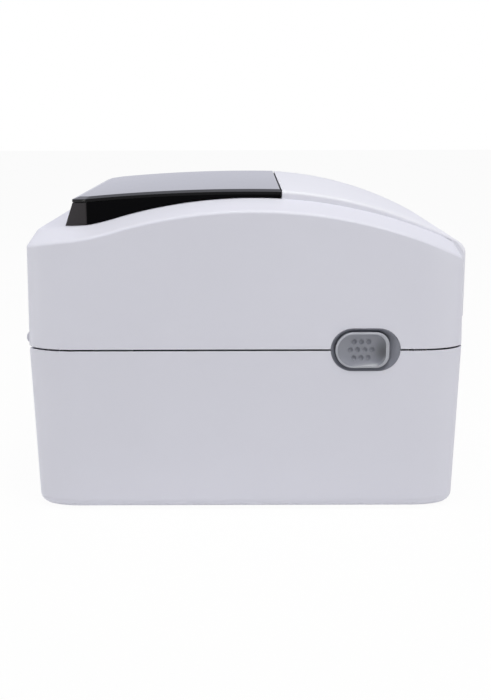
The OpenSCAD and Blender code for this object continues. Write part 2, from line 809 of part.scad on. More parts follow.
stud_r = 2;
module idler_gear() {
    color("ivory") {
        gear_wheel(gear_x0, idler_y, idler_z, idler_large, 0, stud_r + run_gap);
        gear_wheel(gear_x0 + gear_w, idler_y, idler_z, idler_small, small_turn, stud_r + run_gap, gear_w + 1);
    }
}

module idler_stud() {
    head_x = gear_x1 + gear_w + gap;
    color("silver") {
        bar_x(frame_x, head_x + 1, idler_y, idler_z, stud_r);
        bar_x(head_x, head_x + 1.2, idler_y, idler_z, stud_r + 1.5);
    }
}

motor_shaft_r = 2.5;
module motor_pinion() {
    color("goldenrod") {
        gear_wheel(gear_x0, motor_y, motor_z, pinion_teeth, motor_turn, motor_shaft_r - fit);
        bar_x(frame_x - 6, gear_x0 + gear_w, motor_y, motor_z, motor_shaft_r);
    }
}

module stepper_motor() {
    cut = 4;
    h = motor_side / 2;
    color("#55565c") difference() {
        union() {
            along_x(frame_x - fit - motor_len) linear_extrude(motor_len) translate([motor_y, motor_z])
                polygon([
                    [h - cut, -h], [h, cut - h], [h, h - cut], [h - cut, h],
                    [cut - h, h], [-h, h - cut], [-h, cut - h], [cut - h, -h]]);
            bar_x(frame_x - 1, frame_x + frame_t, motor_y, motor_z, motor_boss_r);
        }
        bar_x(frame_x - 7, gear_x1, motor_y, motor_z, motor_shaft_r + run_gap);
        along_x(frame_x - 8) linear_extrude(10) motor_screw_places() circle(r = screw_r);
    }
}

module motor_screws() {
    color("silver") {
        along_x(frame_x + frame_t) linear_extrude(1.6) motor_screw_places() circle(r = screw_head_r - 0.4);
        along_x(frame_x - 6) linear_extrude(6 + frame_t) motor_screw_places() circle(r = screw_r - fit / 2);
    }
}

// Roll guides on racks that turn one pinion

guide_x = frame_x - guide_side;
rack_reach = guide_out + rack_m * 4;
module roll_guide() {
    // The left guide at -guide_x, its rack on the front side of the pinion
    rack_y = guide_y - rack_pitch_r;
    foot_y0 = rack_y - dedendum * rack_m - rack_back;
    color("#3a3b40") {
        along_x(-guide_x - guide_t) linear_extrude(guide_t) translate([guide_y, 0]) {
            translate([-guide_half, guide_foot_z])
                square([2 * guide_half, guide_top - guide_foot_z - guide_round]);
            translate([guide_round - guide_half, guide_foot_z])
                square([2 * (guide_half - guide_round), guide_top - guide_foot_z]);
            for (s = [-1, 1])
                translate([s * (guide_half - guide_round), guide_top - guide_round]) circle(r = guide_round);
        }
        bar_x(-guide_x - guide_t, -guide_x + hub_len, guide_y, hub_z, hub_r);
        span([-guide_x - guide_t, foot_y0, rack_z], [-guide_x, foot_y0 + rack_back, guide_foot_z + 1]);
        translate([0, rack_y, rack_z]) linear_extrude(rack_h)
            polygon(rack_outline(-guide_x - guide_t, rack_reach, rack_m));
    }
}

module roll_guide_left() {
    roll_guide();
}

module roll_guide_right() {
    translate([0, 2 * guide_y, 0]) rotate([0, 0, 180]) roll_guide();
}

guide_post_r = 3;
module guide_pinion() {
    color("ivory") translate([0, guide_y, rack_z]) linear_extrude(rack_h) difference() {
        polygon(gear_outline(guide_teeth, rack_m, 0));
        circle(r = guide_post_r + run_gap);
    }
}

module guide_post() {
    top = rack_z + rack_h + gap;
    color("silver") translate([0, guide_y, bay_z - tray_t]) {
        cylinder(h = top - bay_z + tray_t + 0.5, r = guide_post_r);
        translate([0, 0, top - bay_z + tray_t]) cylinder(h = 1.2, r = guide_post_r + 3);
    }
}

// Sensors

sensor_w = 14;
sensor_l = 8;
sensor_y = bay_front - tray_t - sensor_l / 2 - 2.5;
module label_sensor() {
    color("#202022") difference() {
        span([-sensor_w / 2, sensor_y - sensor_l / 2, deck_z - 7],
            [sensor_w / 2, sensor_y + sensor_l / 2, deck_z]);
        for (s = [-1, 1]) translate([s * sensor_w / 4, sensor_y, deck_z - 1]) cylinder(h = 2, r = 1.5);
    }
    color("#2f6b3f") span([-sensor_w / 2 - 4, sensor_y - sensor_l / 2 - 2, deck_z - 8.6],
        [sensor_w / 2 + 4, sensor_y + sensor_l / 2 + 2, deck_z - 7]);
}

module gap_sensor() {
    color("#202022") difference() {
        span([-sensor_w / 2, sensor_y - sensor_l / 2, head_z + 4],
            [sensor_w / 2, sensor_y + sensor_l / 2, liner_z - fit]);
        for (s = [-1, 1]) translate([s * sensor_w / 4, sensor_y, head_z + 3]) cylinder(h = 2, r = 1.5);
    }
}

// A light gate that a flag on the lid closes
module lid_sensor() {
    x1 = -frame_x - frame_t;
    color("#202022") difference() {
        span([x1 - gate_w, gate_y - gate_l / 2, gate_top - 14], [x1, gate_y + gate_l / 2, gate_top]);
        span([x1 - (gate_w + gate_slot) / 2, gate_y - gate_l, gate_top - 8],
            [x1 - (gate_w - gate_slot) / 2, gate_y + gate_l, gate_top + 1]);
    }
}

// Circuit board and ports

standoff_r = 3;
standoff_in = 6;
standoff_rear = 20;
module main_board() {
    color("#2f6b3f") span([-board_half, board_front, board_z], [board_half, board_rear, board_z + board_t]);
    color("ivory") for (sx = [-1, 1], y = [board_front + standoff_in, board_rear - standoff_rear])
        translate([sx * (board_half - standoff_in), y, floor_z + fit])
            cylinder(h = board_z - floor_z - fit, r = standoff_r);
}

// Middle and size of each chip from the middle of the board's front edge
processor = [[0, 42], [24, 24, 1.6]];
memory = [[28, 40], [12, 12, 1.4]];
driver = [[-31, 25], [14, 10, 3]];
head_plug = [[32, 11], [24, 6, 5]];
can_r = 4;
can_h = 7.5;
can_pitch = 13;
can_y = 58;
can_x = -40;
module on_board(chip) {
    size = chip[1];
    translate([chip[0][0] - size[0] / 2, board_front + chip[0][1] - size[1] / 2, board_z + board_t]) cube(size);
}
module board_chips() {
    color("#202022") {
        on_board(processor);
        on_board(memory);
        on_board(driver);
    }
    color("#303a60") for (i = [0:2])
        translate([can_x + can_pitch * i, board_front + can_y, board_z + board_t]) cylinder(h = can_h, r = can_r);
    color("ivory") on_board(head_plug);
}

usb_z = board_z + board_t;
usb_rear = rear_in + 1;
usb_back = 16;
usb_depth = 9;
usb_wall = 1.1;
tongue_half = 2.8;
tongue_z = 6.4;
tongue_h = 2.6;
module usb_port() {
    x0 = usb_x - usb_w / 2;
    x1 = usb_x + usb_w / 2;
    color("silver") difference() {
        span([x0, usb_rear - usb_back, usb_z], [x1, usb_rear, usb_z + usb_h]);
        span([x0 + usb_wall, usb_rear - usb_depth, usb_z + usb_wall],
            [x1 - usb_wall, usb_rear + 1, usb_z + usb_h - usb_wall]);
    }
    color("ivory") span([usb_x - tongue_half, usb_rear - usb_depth - 1, usb_z + tongue_z],
        [usb_x + tongue_half, usb_rear - usb_wall, usb_z + tongue_z + tongue_h]);
}

dc_back = 14;
dc_depth = 9;
dc_hole_r = 3.2;
dc_pin_r = 1;
module dc_jack() {
    z = usb_z + dc_h / 2;
    color("#202022") difference() {
        span([dc_x - dc_w / 2, usb_rear - dc_back, usb_z], [dc_x + dc_w / 2, usb_rear, usb_z + dc_h]);
        bar_y(usb_rear - dc_depth, usb_rear + 1, dc_x, z, dc_hole_r);
    }
    color("silver") bar_y(usb_rear - dc_depth - 1, usb_rear - 1, dc_x, z, dc_pin_r);
}

module port_plate() {
    z1 = port_top + 3;
    left = switch_x - switch_w;
    color("#2b2c30") difference() {
        span([left - 3, plate_y1 - plate_t, port_z - 0.6], [left + port_w + 3, plate_y1, z1]);
        span([usb_x - usb_w / 2 - fit, plate_y1 - 5, usb_z - fit],
            [usb_x + usb_w / 2 + fit, plate_y1 + 1, usb_z + usb_h + fit]);
        span([dc_x - dc_w / 2 - fit, plate_y1 - 5, usb_z - fit],
            [dc_x + dc_w / 2 + fit, plate_y1 + 1, usb_z + dc_h + fit]);
        span([switch_x - switch_w / 2 + 1, plate_y1 - 5, switch_z - switch_h / 2 + 1],
            [switch_x + switch_w / 2 - 1, plate_y1 + 1, switch_z + switch_h / 2 - 1]);
    }
}

switch_z = board_z + board_t + switch_h / 2 - 1 - fit + gap;
switch_rim = 2;
switch_body = 16;
module switch_housing() {
    color("#202022") difference() {
        union() {
            span([switch_x - switch_w / 2, plate_y1, switch_z - switch_h / 2],
                [switch_x + switch_w / 2, plate_y1 + switch_rim, switch_z + switch_h / 2]);
            span([switch_x - switch_w / 2 + 1 + fit, plate_y1 - switch_body, switch_z - switch_h / 2 + 1 + fit],
                [switch_x + switch_w / 2 - 1 - fit, plate_y1 + 1, switch_z + switch_h / 2 - 1 - fit]);
        }
        translate([switch_x, rocker_y, switch_z - trunnion_half - fit])
            cylinder(h = 2 * trunnion_half + 2 * fit, r = trunnion_r + run_gap);
        span([switch_x - switch_w / 2 + 2, plate_y1 - 8, switch_z - switch_h / 2 + 2],
            [switch_x + switch_w / 2 - 2, plate_y1 + switch_rim + 1, switch_z + switch_h / 2 - 2]);
    }
}

// The rocker turns about an upright axis. It rests on one side.
rocker_half = switch_w / 2 - 2.6;
rocker_h = switch_h - 4.6;
rocker_y = plate_y1 - 2;
trunnion_r = 1;
trunnion_half = switch_h / 2 - 1.4;
module power_rocker() {
    y = rocker_y;
    r = 2.2;
    reach = plate_y1 + switch_rim + 0.6 - y;
    color("#202022") translate([switch_x, y, switch_z - rocker_h / 2]) linear_extrude(rocker_h)
        rotate(rocker_angle / 2) polygon([
            [-r, -r], [r, -r], [rocker_half - 0.6, reach - 3.2], [rocker_half - 0.6, reach - 0.6],
            [0, reach - 1.6], [0.6 - rocker_half, reach - 0.6], [0.6 - rocker_half, reach - 3.2]]);
    color("#202022") translate([switch_x, y, switch_z - trunnion_half])
        cylinder(h = 2 * trunnion_half, r = trunnion_r);
}

// Lid

module lid_shell() {
    end = lid_draft;
    outer = concat(
        [crown_ring(shoulder_w, shoulder_end + end, 0)],
        [for (i = [0:fillet_n]) let (t = shoulder_slope + (90 - shoulder_slope) * i / fillet_n)
            let (d = edge_r * (1 - sin(t)))
            crown_ring(d + end, d * shoulder_end / shoulder_w + end, edge_drop - edge_r * cos(t))],
        [flat_ring(0, lid_z0), flat_ring(wall, lid_z0)],
        [crown_ring(wall + end, wall + end, edge_drop + wall / 2)],
        [crown_ring(wall + end + shoulder_edge, wall + end + end_edge, slope_drop + wall * 1.1)],
        [crown_ring(shoulder_w + wall, shoulder_end + end + wall, wall)]);
    open_x = half_w - shoulder_w - hood_wall - 4;
    color("gainsboro") difference() {
        loft(outer);
        cup_hole(slack);
        // Window under the hood
        span([-open_x, 8 - hood_front, part_z + 40], [open_x, panel_rear - 14, crest_z + 9]);
        // Label exit and hinge notches
        span([-exit_half, -half_l - 1, part_z - 1], [exit_half, -half_l + corner_l / 2, exit_top]);
        for (s = [-1, 1]) translate([s * hinge_x, 0, 0])
            span([-hinge_half - knuckle_gap, half_l - corner_l / 2, part_z - 1],
                [hinge_half + knuckle_gap, half_l + 1, arm_leaf_z - 0.5]);
        bar_y(-half_l - 1, 15 - half_l, button_x, button_z, button_r + gap);
        bar_y(-half_l - 1, 15 - half_l, light_x, button_z, light_r + fit);
    }
}

// Hood: outlines have chamfered rear corners
hood_half = half_w - shoulder_w;
panel_rear = panel_l - hood_front;
hood_n = 14;
function panel_top(y) = crest_z + panel_rise - sag(panel_r, y);
function hood_outline(hx, y0, y1, c) = both_halves(concat(
    [for (i = [0:hood_n]) [hx, y0 + (y1 - c - y0) * i / hood_n]],
    [[hx - c, y1]]));
function hood_ring(inset, y1, drop) = [for (p = hood_outline(
    hood_half - inset, inset - hood_front, y1 - inset, hood_chamfer - 0.6 * inset))
    [p[0], p[1], panel_top(p[1]) - drop]];
function hood_foot(inset, y1) = [for (p = hood_outline(
    hood_half - inset, inset - hood_front, y1 - inset, hood_chamfer - 0.6 * inset))
    [p[0], p[1], crown(p[1]) + fit]];

module hood_frame() {
    top = panel_t + panel_gap;
    color("#17171a") loft([
        hood_foot(0, panel_rear + hood_lean), hood_ring(0, panel_rear, top),
        hood_ring(hood_wall, panel_rear, top), hood_foot(hood_wall, panel_rear + hood_lean)],
        up = true, looped = true);
}

module window_panel() {
    lip = hood_wall / 3;
    color("#101012") loft([
        hood_ring(lip, panel_rear, panel_t + panel_gap - fit), hood_ring(lip, panel_rear, panel_t),
        hood_ring(0, panel_rear, panel_t), hood_ring(0, panel_rear, panel_bevel),
        hood_ring(panel_bevel, panel_rear, 0)], up = true);
}

// Band: an arch that runs forward from the hood and rolls over the front edge
band_top = panel_top(0) - fit;
band_crest = -6;
nose_y = band_nose - half_l - band_proud;
nose_reach = band_r - band_nose;
nose_z = band_top - band_r + sqrt(nose_reach * nose_reach - (nose_y - band_crest) * (nose_y - band_crest));
nose_turn = asin((band_crest - nose_y) / nose_reach);
band_rear = -hood_front - slack;
band_n = 14;
nose_n = fillet_n + 1;
band_turn0 = asin((band_crest - band_rear) / band_r);
band_line = concat(
    [for (i = [0:band_n]) let (a = band_turn0 + (nose_turn - band_turn0) * i / band_n)
        [band_crest - band_r * sin(a), band_top - band_r + band_r * cos(a)]],
    [for (i = [1:nose_n]) let (a = nose_turn + (90 - nose_turn) * i / nose_n)
        [nose_y - band_nose * sin(a), nose_z + band_nose * cos(a)]],
    [[-half_l - band_proud, band_foot]]);
// The surface of the lid under the band, paired with each point of the band
lid_end = lid_draft - half_l;
function under_band(p, i) =
    let (k = i - band_n - 1, t = shoulder_slope + (90 - shoulder_slope) * k / fillet_n)
    let (d = edge_r * (1 - sin(t)), y = lid_end + d * shoulder_end / shoulder_w)
    k < 0 ? let (y = max(p[0], lid_end + shoulder_end)) [y, crown(y) + fit]
    : k <= fillet_n ? [y - fit, crown(y) - edge_drop + edge_r * cos(t) + fit]
    : [-half_l - fit, band_foot];
edge_n = 4;
function band_ring(i) =
    let (t = band_line[i], u = under_band(t, i), d = t - u, far = norm(d), e = min(band_edge, far * 0.7))
    let (half = concat([[0, 0]],
        [for (k = [0:edge_n]) let (a = 90 * k / edge_n) [e * (1 - cos(a)), 1 - e * (1 - sin(a)) / far]]))
    both_points([for (h = half) let (q = u + d * h[1]) [hood_half - h[0], q[0], q[1]]]);
function both_points(half) = concat(
    half, [for (i = [len(half) - 1:-1:0]) [-half[i][0], half[i][1], half[i][2]]]);

light_x = button_x - 16;
module front_band() {
    color("whitesmoke") difference() {
        loft([for (i = [0:len(band_line) - 1]) band_ring(i)], up = true);
        bar_y(-half_l - 9, 15 - half_l, button_x, button_z, button_r + gap);
        bar_y(-half_l - 9, 15 - half_l, light_x, button_z, light_r + fit);
    }
}

// Liner inside the lid, which carries the print head
function roof(y) = crown(y) - wall * 1.3;
liner_posts = [[liner_half - 6, liner_front + 10], [liner_half - 6, liner_rear - 6]];
catch_x1 = slide_x1;
catch_y = -tab_mid + slide_half + hook_reach + gap;
module liner_post_places() {
    for (s = [-1, 1], p = liner_posts) translate([s * p[0], p[1], 0]) children();
}

module lid_liner() {
    color("#3a3b40") difference() {
        union() {
            span([-liner_half, liner_front, liner_z], [liner_half, liner_rear, liner_z + liner_t]);
            span([-exit_half + 1, liner_front, exit_top - 1],
                [exit_half - 1, liner_front + 1.6, liner_z + 1]);
            for (s = [-1, 1], p = liner_posts) translate([s * p[0], p[1], liner_z])
                cylinder(h = roof(p[1] - post_r) - liner_z, r = post_r);
            for (s = [-1, 1]) on_side(s) {
                span([frame_x - 4, rod_y - 5, rod_z - 5], [frame_x, rod_y + 5, liner_z + 1]);
                // Catch beside the hook, on an arm
                span([liner_half - 8, liner_rear - 8, liner_z], [catch_x1, catch_y + 4, liner_z + liner_t]);
                span([slide_x0, catch_y, hook_z0 - 4], [catch_x1, catch_y + 4, liner_z + 1]);
            }
            // Flag for the light gate
            span([-frame_x - frame_t - gate_w / 2 - 0.6, gate_y - 3, gate_top - 6],
                [-frame_x - frame_t - gate_w / 2 + 0.6, gate_y + 3, liner_z + 1]);
        }
        bar_x(-frame_x - 1, frame_x + 1, rod_y, rod_z, rod_r);
        liner_post_places() translate([0, 0, liner_z - 1]) cylinder(h = 14, r = screw_r + fit / 2);
    }
}

module liner_screws() {
    color("silver") liner_post_places() translate([0, 0, liner_z]) {
        translate([0, 0, -screw_head_h]) cylinder(h = screw_head_h, r = screw_head_r);
        translate([0, 0, -0.5]) cylinder(h = 12, r = screw_r);
    }
}

tooth_w = 2;
tooth_h = 1.4;
tear_z = platen_z + platen_r + 2.6;
module tear_bar() {
    half = exit_half - 1;
    n = floor(2 * half / tooth_w);
    x0 = -n * tooth_w / 2;
    color("silver") along_y(liner_front - 0.8, 0.8) polygon(concat(
        [[-x0, exit_top + 4], [x0, exit_top + 4], [x0, tear_z + tooth_h]],
        [for (i = [0:n - 1])
            each [[x0 + tooth_w * (i + 0.5), tear_z], [x0 + tooth_w * (i + 1), tear_z + tooth_h]]]));
}

module head_rod() {
    color("silver") bar_x(-frame_x, frame_x, rod_y, rod_z, rod_r);
}

ear_x = frame_x - 6.5;
module head_bracket() {
    half = frame_x - 5;
    color("lightgray") difference() {
        union() {
            span([-half, head_front, bracket_z], [half, rod_y + 3, bracket_z + bracket_t]);
            for (s = [-1, 1]) on_side(s)
                span([ear_x - bracket_t, rod_y - 5, bracket_z], [ear_x, rod_y + 3, rod_z + 4]);
            for (s = [-1, 1]) translate([s * spring_x, platen_y, bracket_z])
                cylinder(h = bracket_t + 2.5, r = head_coil - head_wire - 0.7);
        }
        bar_x(-frame_x, frame_x, rod_y, rod_z, rod_r + run_gap);
    }
}

sink_rear = platen_y + 9;
module heat_sink() {
    fins = 3;
    color("#b9bcc2") difference() {
        span([-frame_x + 5, head_front, sink_z], [frame_x - 5, sink_rear, bracket_z]);
        for (i = [0:fins - 1]) translate([0, 0, sink_z + 1.4 + 2.2 * i])
            span([-frame_x, sink_rear - 4, 0], [frame_x, sink_rear + 1, 1]);
    }
}

module thermal_head() {
    color("#d9cfb8") span([-platen_half, head_front + 1, head_z], [platen_half, sink_rear - 1, sink_z]);
}

head_wire = 0.5;
head_coil = 3.6;
module head_springs() {
    z = bracket_z + bracket_t;
    color("silver") for (s = [-1, 1]) translate([s * spring_x, platen_y, z + fit])
        coil(head_coil, head_wire, liner_z - z - 2 * fit, head_curls);
}

// Feed button and its board

button_back = liner_front - 0.6;
module feed_button() {
    color("#83858f") {
        bar_y(-half_l - band_proud, button_back, button_x, button_z, button_r);
        bar_y(button_back - 0.9, button_back, button_x, button_z, button_r + 1.5);
    }
}

switch_tip = button_back + button_travel + gap;
control_y = switch_tip + 3.4;
module button_board() {
    color("#2f6b3f") span([light_x - 8, control_y, liner_z + liner_t],
        [button_x + 12, control_y + board_t, button_z + 7]);
    color("#202022") {
        span([button_x - 3, switch_tip + 0.8, button_z - 3], [button_x + 3, control_y, button_z + 3]);
        bar_y(switch_tip, switch_tip + 1, button_x, button_z, 1.7);
    }
}

module light_pipe() {
    color("honeydew") bar_y(-half_l - band_proud, control_y - fit, light_x, button_z, light_r);
}

base_shell();
rubber_feet();
media_tray();
chassis_left();
chassis_right();
base_screws();
exit_lip();
hinge_blocks();
hinge_pins();
latch_cup_left();
latch_cup_right();
release_tab_left();
release_tab_right();
tab_spring_left();
tab_spring_right();
platen_shaft();
platen_rubber();
platen_bushes();
platen_gear();
idler_gear();
idler_stud();
motor_pinion();
stepper_motor();
motor_screws();
roll_guide_left();
roll_guide_right();
guide_pinion();
guide_post();
label_sensor();
lid_sensor();
main_board();
board_chips();
usb_port();
dc_jack();
port_plate();
switch_housing();
power_rocker();
lid_shell();
hood_frame();
window_panel();
front_band();
lid_hinge_arms();
lid_liner();
liner_screws();
tear_bar();
head_rod();
head_bracket();
heat_sink();
thermal_head();
head_springs();
gap_sensor();
feed_button();
button_board();
light_pipe();
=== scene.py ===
# %% [markdown]
# # A desktop label printer
# The imported CAD model comes in as a fixed frame: every node already sits at its real place, in
# metres, with the printer's front towards -Y. This lesson dresses it with finer shells, rounded
# edges and procedural finishes. The CAD nodes are kept, hidden where a dressed piece stands for them.

# %% Load the frame
import json
import math

import bmesh
import bpy
import numpy as np
from mathutils import Matrix, Vector

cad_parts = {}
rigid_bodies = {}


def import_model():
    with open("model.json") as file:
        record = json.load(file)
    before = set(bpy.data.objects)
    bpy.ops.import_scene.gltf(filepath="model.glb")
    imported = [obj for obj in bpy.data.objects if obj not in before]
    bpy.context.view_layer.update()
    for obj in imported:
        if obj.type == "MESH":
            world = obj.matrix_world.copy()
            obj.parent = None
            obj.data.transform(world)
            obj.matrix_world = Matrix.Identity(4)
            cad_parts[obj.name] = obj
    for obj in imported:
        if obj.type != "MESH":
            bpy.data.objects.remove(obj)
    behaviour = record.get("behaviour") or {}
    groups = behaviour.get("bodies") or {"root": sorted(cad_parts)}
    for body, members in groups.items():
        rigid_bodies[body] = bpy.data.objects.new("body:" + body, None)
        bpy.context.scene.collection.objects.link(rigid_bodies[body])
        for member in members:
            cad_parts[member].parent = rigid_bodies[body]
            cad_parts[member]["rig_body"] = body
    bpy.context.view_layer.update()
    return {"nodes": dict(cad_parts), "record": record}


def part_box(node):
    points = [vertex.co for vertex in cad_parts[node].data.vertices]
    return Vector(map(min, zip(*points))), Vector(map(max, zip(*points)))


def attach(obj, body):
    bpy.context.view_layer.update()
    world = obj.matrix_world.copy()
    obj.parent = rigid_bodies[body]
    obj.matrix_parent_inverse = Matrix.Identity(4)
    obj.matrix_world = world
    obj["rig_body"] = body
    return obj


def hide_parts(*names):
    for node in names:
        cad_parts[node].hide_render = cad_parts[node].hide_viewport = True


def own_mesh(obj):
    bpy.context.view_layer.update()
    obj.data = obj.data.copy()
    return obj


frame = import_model()
nodes = frame["nodes"]
MM = 0.001

# %% [markdown]
# The picture is a side view from a little above, so the camera stands to the left of the printer
# and looks along +X. A focal length in pixels turns into a lens in millimetres through the longer
# side of the picture, because Blender fits its sensor to that side. The picture leans by a
# fraction of a degree, and a roll of the camera about its own axis repeats that.

# %% Camera
scene = bpy.context.scene
scene.view_settings.view_transform = "Standard"
PICTURE_HEIGHT_PX = 700
FOCAL_PX = 1008
SENSOR = 36
EYE = Vector((-565, 0, 200.2)) * MM
TILT_DOWN = math.radians(13.72)
LEAN = math.radians(-0.15)


def linked(name, data):
    """A new object in the scene."""
    made = bpy.data.objects.new(name, data)
    scene.collection.objects.link(made)
    return made


lens = bpy.data.cameras.new("side_camera")
lens.sensor_width = SENSOR
lens.lens = FOCAL_PX * SENSOR / PICTURE_HEIGHT_PX
camera = linked("side_camera", lens)
towards_x = Matrix.Rotation(-math.pi / 2, 4, "Z")
pitch = Matrix.Rotation(math.pi / 2 - TILT_DOWN, 4, "X")
camera.matrix_world = (
    Matrix.Translation(EYE) @ towards_x @ pitch @ Matrix.Rotation(LEAN, 4, "Z")
)
scene.camera = camera
print("lens", round(lens.lens, 2), "mm")

# %% [markdown]
# Every finish below is a small node tree. A few helpers keep them readable. One turns a colour as a
# paint program writes it (sRGB hex) into the linear numbers that Blender mixes light with, and one
# adds a node with all that is set on it or linked to it. The others are the nodes that most finishes
# need, such as a noise, a blend of two colours and a relief.


# %% Colours and nodes
def srgb(code):
    """The linear RGBA of a colour such as #DEDEE8."""
    parts = [int(code[i : i + 2], 16) / 255 for i in (1, 3, 5)]
    return (*[c / 12.92 if c <= 0.04045 else ((c + 0.055) / 1.055) ** 2.4 for c in parts], 1.0)


def add(tree, kind, settings=None):
    """A new node. A setting is a property or a socket, and takes a value, a hex colour or an output."""
    made = tree.nodes.new(kind)
    for key, value in (settings or {}).items():
        if isinstance(key, str) and hasattr(made, key):
            setattr(made, key, value)
        elif isinstance(value, bpy.types.NodeSocket):
            tree.links.new(value, made.inputs[key])
        else:
            made.inputs[key].default_value = srgb(value) if isinstance(value, str) else value
    return made


def calc(tree, operation, *values):
    """The result of a sum with numbers and outputs."""
    return add(tree, "ShaderNodeMath", {"operation": operation, **dict(enumerate(values))}).outputs[0]


def blend(tree, share, low, high):
    """A colour between two others, by a share from 0 to 1."""
    return add(tree, "ShaderNodeMix", {"data_type": "RGBA", 0: share, 6: low, 7: high}).outputs[2]


def spread(tree, value, low, high, way="LINEAR"):
    """A number from 0 to 1, spread between two others."""
    return add(tree, "ShaderNodeMapRange",
               {"interpolation_type": way, "Value": value, "To Min": low, "To Max": high}).outputs[0]


def noise(tree, place, size_mm, detail):
    """A cloudy pattern, with clouds of about that size."""
    return add(tree, "ShaderNodeTexNoise",
               {"Scale": 1 / (size_mm * MM), "Detail": detail, "Vector": place}).outputs[0]


def bump(tree, height, depth_mm, **settings):
    """A relief of that depth."""
    return add(tree, "ShaderNodeBump", {"Height": height, "Distance": depth_mm * MM, **settings}).outputs[0]


def start_finish(name):
    """An empty material, its node tree and a socket with places on the piece, in metres."""
    material = bpy.data.materials.new(name)
    material.use_nodes = True
    tree = material.node_tree
    tree.nodes.clear()
    return material, tree, add(tree, "ShaderNodeTexCoord").outputs["Object"]


def surface(tree, settings):
    """Ends a finish with a Principled shader."""
    shader = add(tree, "ShaderNodeBsdfPrincipled", settings)
    add(tree, "ShaderNodeOutputMaterial", {"Surface": shader.outputs[0]})


print("mid grey in linear light:", round(srgb("#808080")[0], 3))

# %% [markdown]
# The studio is a white sweep. A world that is white to the camera, to reflections and to clear
# parts gives the plain background, while the light that it sheds is only a fifth of that, so that
# pale plastic keeps its shading. In mirrors the room is a slightly cool white, like daylight. The
# floor is white to the camera too and still shows the printer's soft shadow.

# %% White surroundings
AMBIENT = 0.19
FLOOR_GLOW = 0.955
FLOOR_HALF = 4.0


def seen_share(tree, share):
    """A number that is share for rays from the camera, mirrors and clear parts, and 0 otherwise."""
    rays = add(tree, "ShaderNodeLightPath").outputs
    first = calc(tree, "MAXIMUM", rays["Is Camera Ray"], rays["Is Glossy Ray"])
    any_of = calc(tree, "MAXIMUM", first, rays["Is Transmission Ray"])
    return calc(tree, "MULTIPLY", any_of, share)


world = bpy.data.worlds.new("white_sweep")
world.use_nodes = True
tree = world.node_tree
tree.nodes.clear()
scene.world = world
strength = calc(tree, "ADD", seen_share(tree, 1 - AMBIENT), AMBIENT)
in_mirror = add(tree, "ShaderNodeLightPath").outputs["Is Glossy Ray"]
sky = add(tree, "ShaderNodeBackground",
          {"Color": blend(tree, in_mirror, "#FFFFFF", "#F1F2FF"), "Strength": strength})
add(tree, "ShaderNodeOutputWorld", {"Surface": sky.outputs[0]})

paper, tree, _ = start_finish("backdrop_paper_white")
matt = add(tree, "ShaderNodeBsdfDiffuse", {"Color": "#EEEEEE"})
glow = add(tree, "ShaderNodeEmission", {"Color": "#FFFFFF", "Strength": 1.0})
both = add(tree, "ShaderNodeMixShader",
           {0: seen_share(tree, FLOOR_GLOW), 1: matt.outputs[0], 2: glow.outputs[0]})
add(tree, "ShaderNodeOutputMaterial", {"Surface": both.outputs[0]})

floor_mesh = bpy.data.meshes.new("floor")
floor_mesh.from_pydata(
    [(sx * FLOOR_HALF, sy * FLOOR_HALF, 0) for sx, sy in ((-1, -1), (1, -1), (1, 1), (-1, 1))],
    [], [(0, 1, 2, 3)])
floor_mesh.materials.append(paper)
floor = linked("floor", floor_mesh)
print("floor", 2 * FLOOR_HALF, "m wide")

# %% [markdown]
# One wide soft lamp overhead, a little to the camera's side, is the key light: it makes the top of
# the case brighter than its sides and lets dishes and dimples show. A soft box beside the front
# lightens that corner, and a broader one beyond the rear lightens the other, which draws the case
# against a white background.

# %% Soft lamps
LAMP_WHITE = "#FFFFFA"
LAMP_AIM = Vector((0, 0, 0.09))
LAMPS = {
    # name: place, size and power in metres and watts
    "overhead_box": ((-0.35, -0.1, 1.3), (0.8, 0.8), 11.6),
    "front_box": ((-0.8, -1.1, 0.5), (0.6, 0.6), 4.2),
    "rear_box": ((-0.3, 1.2, 0.4), (0.8, 0.8), 4.8),
}
for name, (place, size, watts) in LAMPS.items():
    lamp = bpy.data.lights.new(name, "AREA")
    lamp.shape = "RECTANGLE"
    lamp.size, lamp.size_y = size
    lamp.energy = watts
    lamp.color = srgb(LAMP_WHITE)[:3]
    hung = linked(name, lamp)
    hung.location = place
    hung.rotation_euler = (LAMP_AIM - Vector(place)).to_track_quat("-Z", "Y").to_euler()
    hung.visible_camera = False
print("lamps:", ", ".join(LAMPS))

# %% [markdown]
# Most of the printer is injection-moulded plastic. A mould leaves a very fine spark-eroded grain,
# so the surface is satin and highlights spread. The grain is really about a tenth of a millimetre;
# it is drawn coarser here so that a render can hold it. A broad, barely visible drift in tone is
# the way the melt cooled. Base colour, roughness and relief all come from two noises.


# %% Moulded plastic
FLOW_MM = 45
GRAIN_MM = 0.6
SATIN_SPREAD = 0.05


def moulded(name, light, dark, roughness, relief_mm, ior=1.53, grain_mm=GRAIN_MM, **extra):
    """A moulded plastic between two close tones, with a grain that is relief_mm deep."""
    material, tree, place = start_finish(name)
    flow = noise(tree, place, FLOW_MM, 2.0)
    grain = noise(tree, place, grain_mm, 3.0)
    surface(tree, {"IOR": ior, **extra, "Base Color": blend(tree, flow, dark, light),
                   "Roughness": spread(tree, grain, roughness - SATIN_SPREAD, roughness + SATIN_SPREAD),
                   "Normal": bump(tree, grain, relief_mm)})
    return material


# Cool white ABS: an even, faintly blue white without mirror highlights
abs_white = moulded("abs_cool_white_fine_grain", "#DEDEEB", "#DADAE7", 0.48, 0.004)
# The front band is a moulding of its own, less blue than the case; its lighter tone is painted light
abs_band_painted_light = moulded("abs_white_band_painted_light", "#E4E4EE", "#E0E0EA", 0.48, 0.004)
# Mid grey ABS of the latch cups: the same satin as the case
abs_cup = moulded("abs_mid_grey_cup", "#868894", "#80828E", 0.46, 0.004)
